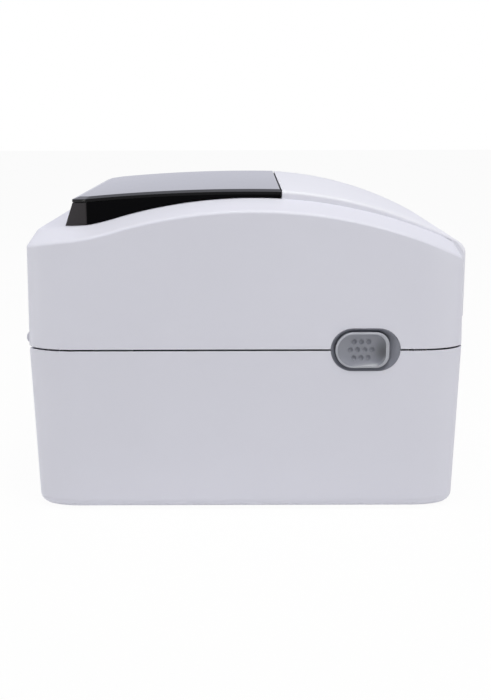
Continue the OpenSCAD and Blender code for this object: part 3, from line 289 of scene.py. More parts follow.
# The tabs and the feed button are smoother, so that their dishes and dimples catch the light
TAB_GREY = ("#898B96", "#838590", 0.3, 0.002)
abs_tab = moulded("abs_mid_grey_tab", *TAB_GREY)
abs_button = moulded("abs_mid_grey_button", *TAB_GREY)
# Painted highlight: the tab's rim is a paler grey, standing for the light that its rounded edge catches
abs_tab_rim_highlight = moulded("abs_mid_grey_rim_painted_highlight", "#AEB0BA", "#A4A6B0", 0.34, 0.002)
# Black ABS of the hood: a dry black that hardly mirrors the room
abs_black = moulded("abs_black_hood", "#060607", "#040405", 0.5, 0.004, **{"Specular IOR Level": 0.03})
# Painted reflection: the hood's rear faces get a paler black for the room they mirror, and a coarser grain
abs_black_rear_painted_reflection = moulded("abs_black_hood_rear_painted_reflection", "#2A2628", "#252224", 0.6, 0.012, grain_mm=0.9,
                         **{"Specular IOR Level": 0.15})
# Charcoal ABS of the tray, liner and guides: dark satin with a coarser texture
abs_charcoal = moulded("abs_charcoal_textured", "#45464C", "#3C3D43", 0.52, 0.012, grain_mm=0.9)
# PBT of the sockets and the switch: a dense black with a slight gloss
pbt_black = moulded("pbt_black", "#1C1C1F", "#161618", 0.4, 0.004)
pbt_gloss = moulded("pbt_black_polished_rocker", "#161618", "#111113", 0.22, 0.001)
# Natural acetal of the gears and bushes: a milky white with a waxy sheen
acetal = moulded("acetal_natural", "#EAE7DC", "#E2DED1", 0.36, 0.002, ior=1.48)
# Nylon of the sensors: matt black that keeps stray light out
nylon_black = moulded("nylon_black_matt", "#1E1E20", "#18181A", 0.6, 0.006)
# Ivory nylon of the tongue in the data socket
nylon_ivory = moulded("nylon_ivory", "#E8E4D6", "#DEDACC", 0.45, 0.002)
# Epoxy of the chips: fine matt black
epoxy_black = moulded("epoxy_black_chip", "#232326", "#1B1B1E", 0.55, 0.004, grain_mm=0.3)
# Rubber of the feet: matt and slightly dusty
rubber_feet_black = moulded("rubber_black_feet", "#2C2C2E", "#242426", 0.75, 0.01, ior=1.52)


def painted_shade_towards(material, tone, centre_mm, reach_mm):
    """Darkens a finish towards a spot, as painted shade. A reach of None leaves that axis out."""
    tree = material.node_tree
    shader = next(node for node in tree.nodes if node.type == "BSDF_PRINCIPLED")
    place = next(node for node in tree.nodes if node.type == "TEX_COORD").outputs["Object"]
    unshaded = shader.inputs["Base Color"].links[0].from_socket
    scale = [0 if reach is None else 1 / (reach * MM) for reach in reach_mm]
    shift = [-c * MM * s for c, s in zip(centre_mm, scale)]
    from_spot = add(tree, "ShaderNodeMapping", {"Scale": scale, "Location": shift, "Vector": place})
    far = add(tree, "ShaderNodeVectorMath", {"operation": "LENGTH", 0: from_spot.outputs[0]})
    shade_share = spread(tree, far.outputs["Value"], 1.0, 0.0, "SMOOTHSTEP")
    # The colour blends to the dark tone near the spot: painted shade
    tree.links.new(blend(tree, shade_share, unshaded, tone), shader.inputs["Base Color"])


# Painted shade: the tab darkens towards the foot of the wall that the thumb pushes against, which shades it
THUMB_SHADE_SPOT, THUMB_SHADE_REACH = (0, -67.6, 82.8), (None, 8.0, 9.5)
painted_shade_towards(abs_tab, "#505259", THUMB_SHADE_SPOT, THUMB_SHADE_REACH)
print("darkest spot of", abs_tab.name, "at", THUMB_SHADE_SPOT[1:], "mm")

# %% [markdown]
# The hood's top is a plate of polished black polycarbonate. Seen along its surface it turns nearly
# into a mirror, so the pale grey on it in a side view is the white room, and comes from the
# Principled shader's own Fresnel. A polished moulding isn't optically flat: a long, shallow ripple
# makes the reflection slightly alive.

# %% Polished black polycarbonate
RIPPLE_MM, RIPPLE_DEPTH = 22, 0.006
panel_gloss, tree, place = start_finish("polycarbonate_black_polished")
ripple = noise(tree, place, RIPPLE_MM, 1.0)
surface(tree, {"IOR": 1.5, "Specular IOR Level": 0.12,
               "Base Color": blend(tree, ripple, "#0B0B0D", "#0F0F12"),
               "Roughness": spread(tree, ripple, 0.07, 0.1),
               "Normal": bump(tree, ripple, RIPPLE_DEPTH)})
print("made", panel_gloss.name)

# %% [markdown]
# The works inside are plain industrial metals. Each keeps the marks of how it was made: grinding
# and turning leave fine streaks along or around a bar, zinc plating leaves a soft cloud of crystals,
# and an extruded heat sink has straight draw lines. Squeezing one axis of a noise gives streaks, so
# one helper serves them all, with the streak's width and length in millimetres.

# %% Worked metal
DULL_SPREAD = 0.08


def worked_metal(name, light, dark, roughness, streak_mm, relief_mm):
    """A metal with marks of streak_mm = (x, y, z) size between two tones."""
    material, tree, place = start_finish(name)
    squeezed = add(tree, "ShaderNodeMapping", {"Scale": [1 / s for s in streak_mm], "Vector": place})
    marks = noise(tree, squeezed.outputs[0], 1, 3.0)
    surface(tree, {"Metallic": 1.0, "Base Color": blend(tree, marks, dark, light),
                   "Roughness": spread(tree, marks, roughness - DULL_SPREAD, roughness + DULL_SPREAD),
                   "Normal": bump(tree, marks, relief_mm)})
    return material


# Zinc-plated sheet steel: cool grey with soft crystal clouds about 3 mm wide
steel_zinc = worked_metal("steel_zinc_plated", "#C4C7CB", "#A9ADB3", 0.34, (3, 3, 3), 0.004)
# Ground steel bar: bright, with fine rings round the bar, drawn 0.4 mm apart so that they show
steel_ground = worked_metal("steel_ground_bright", "#D2D3D5", "#BDBFC2", 0.2, (0.4, 4, 4), 0.001)
# Drawn spring wire: darker, slightly oily steel
steel_wire = worked_metal("steel_spring_wire", "#9FA1A6", "#86898F", 0.28, (1, 1, 1), 0.001)
# Turned brass pinion: warm yellow with turning rings
brass = worked_metal("brass_turned", "#D0AC62", "#BE9850", 0.26, (0.4, 3, 3), 0.001)
# Extruded aluminium: pale, with straight draw lines along the fins
aluminium = worked_metal("aluminium_extruded", "#D6D7DA", "#C3C5C9", 0.36, (12, 0.4, 0.4), 0.004)
# Nickel plate of the data socket: bright and slightly warm
nickel = worked_metal("nickel_plated_shell", "#CFCBC4", "#C2BEB6", 0.24, (2, 2, 2), 0.001)
print("metals:", steel_zinc.name, steel_ground.name, steel_wire.name, brass.name, aluminium.name)

# %% [markdown]
# A few pieces need a finish of their own. The platen roller is silicone rubber ground to size, with
# fine rings round it. A wave texture draws them. Its sine turns by 20 radians for each unit of its
# scale, so the helper takes the length of one radian.


# %% Ground rubber
WAVE_RATE = 20
RING_RADIAN_MM, RING_DEPTH_MM = 1.2, 0.01


def bands(tree, place, radian_mm, **settings):
    """Bands across X, as a number from 0 to 1."""
    return add(tree, "ShaderNodeTexWave",
               {"wave_type": "BANDS", "bands_direction": "X", "Scale": 1 / (radian_mm * MM) / WAVE_RATE,
                "Vector": place, **settings}).outputs[1]


roller_rubber, tree, place = start_finish("rubber_ground_platen")
ground = bands(tree, place, RING_RADIAN_MM, Distortion=1.5, Detail=2.0)
surface(tree, {"Roughness": 0.62, "IOR": 1.43, "Base Color": blend(tree, ground, "#2B2B2E", "#343437"),
               "Normal": bump(tree, ground, RING_DEPTH_MM)})
print("made", roller_rubber.name)

# %% [markdown]
# The motor is a stack of steel laminations between two lacquered caps, so its colour changes along
# its length.

# %% Motor stack
SHEET_RADIAN_MM = 0.5
CAP_MM = 9
motor_low, motor_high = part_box("stepper_motor")
motor_stack, tree, place = start_finish("motor_laminations_and_lacquer")
along = add(tree, "ShaderNodeSeparateXYZ", {0: place}).outputs[0]
from_middle = calc(tree, "ABSOLUTE", calc(tree, "SUBTRACT", along, (motor_low.x + motor_high.x) / 2))
stack_half = (motor_high.x - motor_low.x) / 2 - CAP_MM * MM
in_cap = calc(tree, "GREATER_THAN", from_middle, stack_half)
sheets = blend(tree, bands(tree, place, SHEET_RADIAN_MM), "#6E7076", "#85888E")
surface(tree, {"Roughness": 0.4, "Base Color": blend(tree, in_cap, sheets, "#1D1E21"),
               "Metallic": calc(tree, "SUBTRACT", 1.0, in_cap)})
print("motor stack", round(2 * stack_half / MM, 1), "mm between its caps")

# %% [markdown]
# The boards show copper tracks under a green lacquer. The tracks run along the edges of a pattern of
# cells and stand a little higher than the gaps between them.

# %% Circuit board
TRACK_MM, TRACK_SHARE, TRACK_RISE_MM = 2.5, 0.09, 0.03
board_green, tree, place = start_finish("glass_epoxy_board_green")
cells = add(tree, "ShaderNodeTexVoronoi",
            {"feature": "DISTANCE_TO_EDGE", "distance": "MANHATTAN", "Scale": 1 / (TRACK_MM * MM),
             "Vector": place})
gap = calc(tree, "GREATER_THAN", cells.outputs[0], TRACK_SHARE)
surface(tree, {"Roughness": 0.3, "IOR": 1.52, "Base Color": blend(tree, gap, "#2C7048", "#1D5636"),
               "Normal": bump(tree, gap, TRACK_RISE_MM, invert=True)})
print("made", board_green.name)

# %% [markdown]
# The print head is a glazed ceramic strip whose row of heating dots lies under the glaze. The light
# pipe is clear acrylic with a fine frost.

# %% Glazed head and clear light pipe
DOT_LINE_HALF_MM, FROST_MM = 0.5, 0.5
head_low, head_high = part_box("thermal_head")
glazed, tree, place = start_finish("alumina_glazed_head")
across = add(tree, "ShaderNodeSeparateXYZ", {0: place}).outputs[1]
dot_line = calc(tree, "COMPARE", across, (head_low.y + head_high.y) / 2, DOT_LINE_HALF_MM * MM)
surface(tree, {"Roughness": 0.14, "IOR": 1.76, "Base Color": blend(tree, dot_line, "#D8CDB4", "#6B5136")})

acrylic, tree, place = start_finish("acrylic_frosted_light_pipe")
frost = noise(tree, place, FROST_MM, 2.0)
surface(tree, {"Base Color": "#E6F1EA", "IOR": 1.49, "Transmission Weight": 0.6,
               "Roughness": spread(tree, frost, 0.25, 0.45)})
print("made", glazed.name, "and", acrylic.name)

# %% [markdown]
# Now the shapes. The case is drawn by rings: each ring is the same plan outline, pulled in by a
# little and set at a height, and a skin joins them. That is how a moulded shell is thought of too:
# a wall with draft, a rounded foot and a shoulder. Points are in millimetres until a mesh is made.

# %% Skins through rings
WELD_MM = 0.0001


def from_bmesh(name, bm):
    """A new object from an edit mesh, which is freed."""
    mesh = bpy.data.meshes.new(name)
    bm.to_mesh(mesh)
    bm.free()
    return linked(name, mesh)


def mesh_piece(name, points_mm, faces):
    """A new mesh object from points in millimetres, with its faces turned outwards."""
    bm = bmesh.new()
    made = [bm.verts.new(p) for p in np.asarray(points_mm, float) * MM]
    for face in faces:
        bm.faces.new([made[i] for i in face])
    bmesh.ops.remove_doubles(bm, verts=bm.verts, dist=WELD_MM * MM)
    bmesh.ops.recalc_face_normals(bm, faces=bm.faces)
    return from_bmesh(name, bm)


def skin(name, rings, looped=False):
    """A closed skin through rings of as many points each. Open ends are closed in strips across."""
    n, count = len(rings[0]), len(rings)
    faces = []
    for r in range(count if looped else count - 1):
        a, b = r * n, (r + 1) % count * n
        faces += [(a + j, a + (j + 1) % n, b + (j + 1) % n, b + j) for j in range(n)]
    if not looped:
        for first in (0, (count - 1) * n):
            faces += [(first + j, first + j + 1, first + n - 2 - j, first + n - 1 - j)
                      for j in range(n // 2 - 1)]
    return mesh_piece(name, np.vstack(rings), faces)


def smooth(piece, crease_deg=35):
    """Smooth shading that keeps edges sharper than crease_deg."""
    piece.data.shade_smooth()
    piece.data.set_sharp_from_angle(angle=math.radians(crease_deg))
    return piece


def dress(piece, material, body, slot, *replaced):
    """Gives a finished piece its material and its body, and hides the nodes that it stands for. The slot is
    not used.
    """
    if not piece.data.materials:
        piece.data.materials.append(material)
    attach(piece, body)
    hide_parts(*replaced)
    print(piece.name, len(piece.data.polygons), "faces on", body)
    return piece


quarter = np.radians(np.linspace(0, 90, 9))


def rounding(radius, turn=quarter):
    """Pairs of how far in and how far down a quarter round lies, from its side to its top."""
    return [(radius * (1 - math.cos(t)), radius * (1 - math.sin(t))) for t in turn]


print("a round edge takes", len(quarter), "rings")

# %% [markdown]
# The plan of the case is a rectangle with elliptical corners, long towards the front and rear. The
# sizes are those of the CAD part. The top follows a crown: a long arch that ends in a hollow curve
# and a flat at the rear, and the two arcs meet without a kink where their radii line up.

# %% Plan and crown of the case
base_low, base_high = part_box("base_shell")
HALF_W = base_high.x / MM
HALF_L = -base_low.y / MM
BASE_Z0, BASE_TOP = base_low.z / MM, base_high.z / MM
LID_Z0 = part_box("lid_shell")[0].z / MM
PART_Z = (BASE_TOP + LID_Z0) / 2
WALL = 2.4
CORNER_L, CORNER_W, CORNER_MIN = 24, 13, 2
CORNER_STEPS, SIDE_STEPS = 22, 64
CREST_Z, CREST_Y, CROWN_R = 156, -4, 238
REAR_DROP, FLAT_Y = 14.5, 95
ARCH_REACH = FLAT_Y - CREST_Y
HOLLOW_R = (ARCH_REACH**2 + REAR_DROP**2) / (2 * REAR_DROP) - CROWN_R
BEND_Y = CREST_Y + ARCH_REACH * CROWN_R / (CROWN_R + HOLLOW_R)


def sag(radius, reach):
    """How far an arc has dropped at a reach from its top."""
    return radius - np.sqrt(radius**2 - np.square(reach))


def crown(y):
    """The height of the case's top above the table at a place along it."""
    y = np.asarray(y, float)
    arch = CREST_Z - sag(CROWN_R, y - CREST_Y)
    hollow = CREST_Z - REAR_DROP + sag(HOLLOW_R, np.clip(FLAT_Y - y, 0, FLAT_Y - BEND_Y))
    return np.where(y < BEND_Y, arch, hollow)


def mirrored(half):
    """A right half from front to rear, then its left half back."""
    half = np.asarray(half, float)
    flip = np.ones(half.shape[1])
    flip[0] = -1
    return np.vstack([half, half[::-1] * flip])


TURN = np.radians(np.linspace(0, 90, CORNER_STEPS + 1))


def plan(inset_x, inset_front, inset_rear):
    """The plan outline of the case, pulled in from the sides, the front and the rear."""
    hx, y0, y1 = HALF_W - inset_x, inset_front - HALF_L, HALF_L - inset_rear
    b = max(CORNER_W - inset_x, CORNER_MIN)
    c, d = (max(CORNER_L - inset, CORNER_MIN) for inset in (inset_front, inset_rear))
    front = np.c_[hx - b + b * np.sin(TURN), y0 + c - c * np.cos(TURN)]
    rear = np.c_[hx - b + b * np.cos(TURN), y1 - d + d * np.sin(TURN)]
    side_y = np.linspace(y0 + c, y1 - d, SIDE_STEPS + 1)[1:-1]
    return mirrored(np.vstack([front, np.c_[np.full(len(side_y), hx), side_y], rear]))


def level_ring(inset, z):
    outline = plan(inset, inset, inset)
    return np.c_[outline, np.full(len(outline), z)]


straight, none = np.zeros(SIDE_STEPS - 1), np.zeros(CORNER_STEPS + 1)
FRONT_SHARE = np.r_[np.cos(TURN) ** 2, straight, none, none, straight, np.sin(TURN) ** 2]
REAR_SHARE = np.r_[none, straight, np.sin(TURN) ** 2, np.cos(TURN) ** 2, straight, none]


def crown_ring(insets, drop, front_drop=None, rear_drop=None):
    """A ring that rides on the crown, dropped by other amounts at its ends if those are given."""
    outline = plan(*insets)
    drops = np.full(len(outline), float(drop))
    for share, at_end in ((FRONT_SHARE, front_drop), (REAR_SHARE, rear_drop)):
        if at_end is not None:
            drops += (at_end - drop) * share
    return np.c_[outline, crown(outline[:, 1]) - drops]


print("case", 2 * HALF_W, "x", 2 * HALF_L, "mm, crown bends at", round(BEND_Y, 2))

# %% [markdown]
# Openings in a moulded wall have a small radius at their edge. A cutter that flares out where it
# leaves the wall gives that radius in one boolean cut, with no bevel to tidy afterwards. A cutter
# is a rounded rectangle that runs along X, Y or Z.

# %% Flared cutters
CUT_BEYOND, OPEN_END, BELOW_SEAM = 10, 9, 20


def rounded_outline(low, high, radius, grow=0.0, steps=10):
    """Points round a rectangle with round corners, grown by grow on all sides."""
    r = radius + grow
    (u0, v0), (u1, v1) = np.subtract(low, grow), np.add(high, grow)
    corners = ((u0 + r, v0 + r, 180), (u1 - r, v0 + r, 270), (u1 - r, v1 - r, 0), (u0 + r, v1 - r, 90))
    points = []
    for u, v, start in corners:
        turn = np.radians(np.linspace(start, start + 90, steps + 1))
        points.append(np.c_[u + r * np.cos(turn), v + r * np.sin(turn)])
    return np.vstack(points)


def on_axis(outline, axis, place):
    """A flat outline set across an axis at a place (a number, or one for each point)."""
    column = np.broadcast_to(place, len(outline))
    return np.insert(outline, "XYZ".index(axis), column, axis=1)


def cutter(axis, low, high, radius, inside, face, flare=0.4):
    """A cutter from inside the wall to its outer face, where it flares, and on beyond it."""
    out = 1 if face > inside else -1
    rings = [on_axis(rounded_outline(low, high, radius), axis, inside)]
    for grow, back in rounding(flare):
        rings.append(on_axis(rounded_outline(low, high, radius, grow), axis, face - out * back))
    rings.append(on_axis(rounded_outline(low, high, radius, flare), axis, face + out * CUT_BEYOND))
    return skin("cutter", rings)


def drill(axis, place, radius, inside, face, flare):
    """A round cutter about a place."""
    return cutter(axis, np.subtract(place, radius), np.add(place, radius), radius, inside, face, flare)


def applied(piece):
    """The piece with its modifiers worked into its mesh."""
    solid = piece.evaluated_get(bpy.context.evaluated_depsgraph_get())
    mesh = bpy.data.meshes.new_from_object(solid)
    piece.modifiers.clear()
    piece.data = mesh
    return piece


def cut(piece, tools):
    """Takes the tools out of the piece, then deletes them."""
    for tool in tools:
        step = piece.modifiers.new("cut", "BOOLEAN")
        step.object, step.operation, step.solver = tool, "DIFFERENCE", "EXACT"
    applied(piece)
    for tool in tools:
        bpy.data.objects.remove(tool)
    return piece


def settled(piece):
    """Turns the shading towards the larger faces, so that small rounds don't tint the walls."""
    piece.modifiers.new("weigh", "WEIGHTED_NORMAL").keep_sharp = True
    return applied(piece)


CUP_Y, CUP_Z, CUP_L, CUP_H = -58.4, PART_Z + 0.2, 33.8, 21.2
CUP_LOW = (CUP_Y - CUP_L / 2, CUP_Z - CUP_H / 2)
CUP_HIGH = (CUP_Y + CUP_L / 2, CUP_Z + CUP_H / 2)
CUP_DEPTH = 4.6


def cup_cutters(room):
    """The oval openings for the latch cups in both side walls."""
    return [cutter("X", np.subtract(CUP_LOW, room), np.add(CUP_HIGH, room), CUP_H / 2 + room,
                   s * (HALF_W - CUP_DEPTH), s * HALF_W, 0.15) for s in (-1, 1)]


print("latch opening", CUP_L, "x", CUP_H, "mm")

# %% [markdown]
# The base is a tub with a rounded foot, walls that lean out a little for the mould, and a rim. The
# rim thins to a lip with a small radius, so that the eye looks past it into the dark case: that is
# what makes the seam between base and lid a thin dark line.

# %% Base shell
BASE_DRAFT, FOOT_R, FLOOR_Z = 1.8, 6, 3.9
UNDERSIDE_Z = 0.7
RIM_R, LIP, SEAM_OPEN = 0.2, 0.6, 0.3
REAR_RELIEF, RELIEF_HALF = 1.4, 79.3
HINGE_X, KNUCKLE_SEAT, BLOCK_Z0 = 66, 5.1, 72.5
BAY_REAR, INLET_HALF, INLET_Z0 = 97, 58, 73
PORT_X0, PORT_X1, PORT_Z0, PORT_Z1 = -52, 44, 8, 22
PORT_DEPTH, PORT_SINK = 9, 1.45
SCREW_PLACES = [(sx * 57, y) for sx in (-1, 1) for y in (-35, 90)]
HEAD_HOLE_R, SHANK_HOLE_R, HEAD_SINK = 3.1, 1.6, 1.5

inner_r = FOOT_R - WALL / 2
foot_turn = np.radians(np.linspace(0, 90, 13))
rings = [level_ring(BASE_DRAFT + i, UNDERSIDE_Z + d) for d, i in rounding(FOOT_R, foot_turn)]
rings += [level_ring(i, BASE_TOP - d) for i, d in rounding(RIM_R)]
rings += [level_ring(LIP, BASE_TOP), level_ring(WALL, BASE_TOP - 1.5 * WALL)]
rings += [level_ring(BASE_DRAFT + WALL + i, FLOOR_Z + d) for d, i in rounding(inner_r, foot_turn[::-2])]
base = skin("base_case", rings)
rear = HALF_L
tools = cup_cutters(0.1)
tools.append(cutter("Y", (-RELIEF_HALF, BASE_TOP - REAR_RELIEF), (RELIEF_HALF, BASE_TOP + OPEN_END), 0.4,
                    rear - CORNER_L, rear, 0.3))
tools.append(cutter("Y", (-INLET_HALF, INLET_Z0), (INLET_HALF, BASE_TOP + OPEN_END), 2, BAY_REAR, rear, 0.6))
for s in (-1, 1):
    x = s * HINGE_X
    tools.append(cutter("Y", (x - KNUCKLE_SEAT, BLOCK_Z0), (x + KNUCKLE_SEAT, BASE_TOP + OPEN_END), 0.3,
                        BAY_REAR, rear, 0.2))
tools.append(cutter("Y", (PORT_X0, PORT_Z0), (PORT_X1, PORT_Z1), 1.2, rear - PORT_DEPTH,
                    rear - PORT_SINK, 0.8))
for place in SCREW_PLACES:
    tools.append(drill("Z", place, HEAD_HOLE_R, BASE_Z0 + HEAD_SINK, UNDERSIDE_Z, 0.4))
    tools.append(drill("Z", place, SHANK_HOLE_R, BASE_Z0 + WALL + 1, BASE_Z0 + HEAD_SINK - 0.1, 0.05))
dress(settled(smooth(cut(base, tools))), abs_white, "base", "case_white", "base_shell")

# %% [markdown]
# The lid has the same walls, but its top ring rides on the crown. A broad shoulder falls from the
# hood to a rounded edge above the side wall. The crease along the top of the shoulder is blended
# over a few millimetres, so light rolls over it as on a real moulding.

# %% Lid shell
LID_DRAFT = 1.2
SHOULDER_W, SHOULDER_EDGE = 16, 1.3
SLOPE = math.radians(17)
FRONT_END, REAR_END, END_EDGE = (4.5, 5.5), (5.0, 7.6), 2.5
CREASE, EDGE_LEAD = 2, 1.5
EXIT_HALF, EXIT_TOP = 60.5, 93
NOTCH_HALF, NOTCH_TOP = 11.6, 92
WINDOW_X, WINDOW_Y0, WINDOW_Y1, WINDOW_FROM = 66, -9.5, 70.3, PART_Z + 40
BUTTON_X, BUTTON_Z, BUTTON_R = 48, 119, 6
LIGHT_X, BUTTON_HOLE_R, LIGHT_HOLE_R, HOLE_DEPTH = 32, 6.3, 2.1, 15
edge_r = SHOULDER_EDGE / (1 - math.sin(SLOPE))
slope_drop = (SHOULDER_W - SHOULDER_EDGE) * math.tan(SLOPE)
edge_drop = slope_drop + edge_r * math.cos(SLOPE)
slope_w = SHOULDER_W - SHOULDER_EDGE - LID_DRAFT


def end_slope(end, share):
    """How far the lid's end is pulled in and dropped on its slope: 0 is its top and 1 its edge."""
    return LID_DRAFT + end_edge(end, 0)[0] + end[0] * (1 - share), end[1] * share


def end_edge(end, share):
    """The same on the rounded edge below the slope, less what the slope has dropped."""
    start = math.atan2(end[1], end[0])
    t = start + (math.pi / 2 - start) * share
    return END_EDGE * (1 - math.sin(t)), END_EDGE * (math.cos(start) - math.cos(t))


def control_holes(face, button_flare, light_flare):
    """Round holes for the feed button and its light, from inside the lid out to a face."""
    inside = HOLE_DEPTH - HALF_L
    return [drill("Y", (BUTTON_X, BUTTON_Z), BUTTON_HOLE_R, inside, face, button_flare),
            drill("Y", (LIGHT_X, BUTTON_Z), LIGHT_HOLE_R, inside, face, light_flare)]


ENDS = FRONT_END, REAR_END
rings = []
for s in np.r_[np.linspace(-CREASE, CREASE, 7), slope_w - EDGE_LEAD]:
    share = s / slope_w
    eased_share = (s + CREASE) ** 2 / (4 * CREASE) / slope_w if s < CREASE else share
    insets = [end_slope(end, share)[0] for end in ENDS]
    rings.append(crown_ring((SHOULDER_W - s, *insets), slope_drop * eased_share,
                            *(end[1] * eased_share for end in ENDS)))
for share in np.linspace(0, 1, 14):
    t = SLOPE + (math.pi / 2 - SLOPE) * share
    rounds = [end_edge(end, share) for end in ENDS]
    rings.append(crown_ring((edge_r * (1 - math.sin(t)) + LID_DRAFT, *(LID_DRAFT + r[0] for r in rounds)),
                            edge_drop - edge_r * math.cos(t),
                            *(end[1] + r[1] for end, r in zip(ENDS, rounds))))
lid_rim = LID_Z0 + SEAM_OPEN
rings += [level_ring(i, lid_rim + d) for i, d in rounding(RIM_R)]
rings += [level_ring(WALL - i, lid_rim + d) for d, i in rounding(RIM_R)]
rings += [
    crown_ring([WALL + LID_DRAFT] * 3, edge_drop + WALL / 2, *(end[1] + END_EDGE + WALL for end in ENDS)),
    crown_ring((WALL + LID_DRAFT + SHOULDER_EDGE, *(end_slope(end, 1)[0] + WALL for end in ENDS)),
               slope_drop + WALL * 1.1, *(end[1] + WALL / 2 for end in ENDS)),
    crown_ring((SHOULDER_W + WALL, *(end_slope(end, 0)[0] + WALL for end in ENDS)), WALL)]
lid = skin("lid_case", rings)
front = -HALF_L
tools = cup_cutters(0.15)
tools.append(cutter("Z", (-WINDOW_X, WINDOW_Y0), (WINDOW_X, WINDOW_Y1), 3, WINDOW_FROM,
                    CREST_Z + OPEN_END, 0.2))
tools.append(cutter("Y", (-EXIT_HALF, PART_Z - BELOW_SEAM), (EXIT_HALF, EXIT_TOP), 2, front + CORNER_L / 2,
                    front + 0.1, 0.8))
for s in (-1, 1):
    x = s * HINGE_X
    tools.append(cutter("Y", (x - NOTCH_HALF, PART_Z - BELOW_SEAM), (x + NOTCH_HALF, NOTCH_TOP), 1,
                        rear - CORNER_L / 2, rear - 0.1, 0.4))
tools += control_holes(front - 1, 0.1, 0.1)
dress(settled(smooth(cut(lid, tools))), abs_white, "lid", "case_white", "lid_shell")

# %% [markdown]
# The hood is a black frame that rises from the crown, with its rear corners cut off at an angle,
# and a polished plate on top. A shallow bevel runs along the plate before its edge rolls over. The
# bevel mirrors the room less than the flat does, which gives the grey line along the plate. A thin
# shadow gap under the plate separates it from the frame.

# %% Hood frame and polished plate
HOOD_HALF = HALF_W - SHOULDER_W
HOOD_FRONT, HOOD_REAR, HOOD_LEAN, HOOD_CUT = -17.5, 85.4, 3.8, 8
HOOD_WALL, HOOD_STEPS, CUT_SOFT = 3, 40, 1.0
PLATE_R, PLATE_RISE, PLATE_T, PLATE_GAP, PLATE_ROLL = 850, 4, 2.4, 0.3, 0.3
BEVEL_W, BEVEL_DROP, FLAT_HOLD = 3.3, 0.9, 0.4
FRAME_EDGE, UNDER_EDGE, REAR_FACING = 0.3, 0.2, 0.3
CUT_SHRINK, FRONT_BEVEL = 0.6, 0.2
FIT = 0.1


def plate_top(y):
    return CREST_Z + PLATE_RISE - sag(PLATE_R, y)


def softened(before, corner, after, reach, steps=5):
    """Points that turn softly round a corner between two directions."""
    start = corner + (before - corner) / np.linalg.norm(before - corner) * reach
    end = corner + (after - corner) / np.linalg.norm(after - corner) * reach
    t = np.linspace(0, 1, steps + 1)[:, None]
    return (1 - t) ** 2 * start + 2 * t * (1 - t) * corner + t**2 * end


def hood_outline(inset, lean, front_inset=None):
    """The plan of the hood, pulled in by inset. Its rear corners are cut off, and lean further out."""
    hx, y1 = HOOD_HALF - inset, HOOD_REAR - inset
    y0 = HOOD_FRONT + (inset if front_inset is None else front_inset)
    c = HOOD_CUT - CUT_SHRINK * inset
    first, second = np.array((hx, y1 - c)), np.array((hx - c, y1 + lean))
    sides = np.linspace(y0, y1 - c - CUT_SOFT, HOOD_STEPS + 1)
    half = [np.c_[np.full(len(sides), hx), sides],
            softened(np.array((hx, y0)), first, second, CUT_SOFT)[1:],
            softened(first, second, np.array((0, y1 + lean)), CUT_SOFT)]
    return mirrored(np.vstack(half))


def hood_ring(inset, drop, front_inset=None):
    outline = hood_outline(inset, 0, front_inset)
    return np.c_[outline, plate_top(outline[:, 1]) - drop]


def hood_foot(inset):
    outline = hood_outline(inset, HOOD_LEAN)
    return np.c_[outline, crown(outline[:, 1]) + FIT]


def two_toned(piece, first, second, is_second):
    """Gives a piece two finishes: is_second says which of its faces take the second one."""
    for finish in (first, second):
        piece.data.materials.append(finish)
    for face in piece.data.polygons:
        face.material_index = int(is_second(face))
    return piece


frame_drop = PLATE_T + PLATE_GAP
rings = [hood_foot(0)]
rings += [hood_ring(i, frame_drop + d) for i, d in rounding(FRAME_EDGE)]
rings += [hood_ring(HOOD_WALL, frame_drop), hood_foot(HOOD_WALL)]
hood = smooth(skin("hood_black_frame", rings, looped=True))
# The rear faces take the paler black, a painted reflection
two_toned(hood, abs_black, abs_black_rear_painted_reflection,
          lambda face: face.normal.y > REAR_FACING and face.center.y > 0)
dress(hood, abs_black, "lid", "hood_black", "hood_frame")

lip = HOOD_WALL / 3
rings = [hood_ring(lip, frame_drop - FIT), hood_ring(lip, PLATE_T)]
rings += [hood_ring(i, PLATE_T - d) for d, i in rounding(UNDER_EDGE)]
rings += [hood_ring(i, BEVEL_DROP + d) for i, d in rounding(PLATE_ROLL)[:-1]]
rings += [hood_ring(PLATE_ROLL + BEVEL_W * u, BEVEL_DROP * (1 - u), PLATE_ROLL + FRONT_BEVEL * u)
          for u in (0, 0.08, 0.92, 1)]
rings.append(hood_ring(PLATE_ROLL + BEVEL_W + FLAT_HOLD, 0, PLATE_ROLL + FLAT_HOLD))
dress(smooth(skin("hood_polished_plate", rings)), panel_gloss, "lid", "panel_gloss", "window_panel")

# %% [markdown]
# A raised band runs forward from the hood, arches with the crown and rolls over the front edge of
# the lid. Its section is a flat top with a two-millimetre round along each side, and its underside
# sinks a hair into the lid, as a moulding that is welded on, so no dark line shows along its foot.

# %% Front band
BAND_R, BAND_CREST_Y, BAND_NOSE, BAND_PROUD, BAND_EDGE, BAND_FOOT = 204, -6, 7, 1, 2, 97
BAND_STEPS, NOSE_STEPS, EDGE_STEPS = 44, 18, 8
BAND_SINK, BAND_GAP, EDGE_MOST = 0.3, 0.4, 0.7
CHAMFER_UP, CHAMFER_IN = 0.5, 0.4
BAND_REAR = HOOD_FRONT - BAND_GAP
band_top = plate_top(0) - FIT
nose_y = BAND_NOSE - HALF_L - BAND_PROUD
nose_reach = BAND_R - BAND_NOSE
nose_z = band_top - BAND_R + math.sqrt(nose_reach**2 - (nose_y - BAND_CREST_Y) ** 2)
nose_turn = math.asin((BAND_CREST_Y - nose_y) / nose_reach)
rear_turn = math.asin((BAND_CREST_Y - BAND_REAR) / BAND_R)

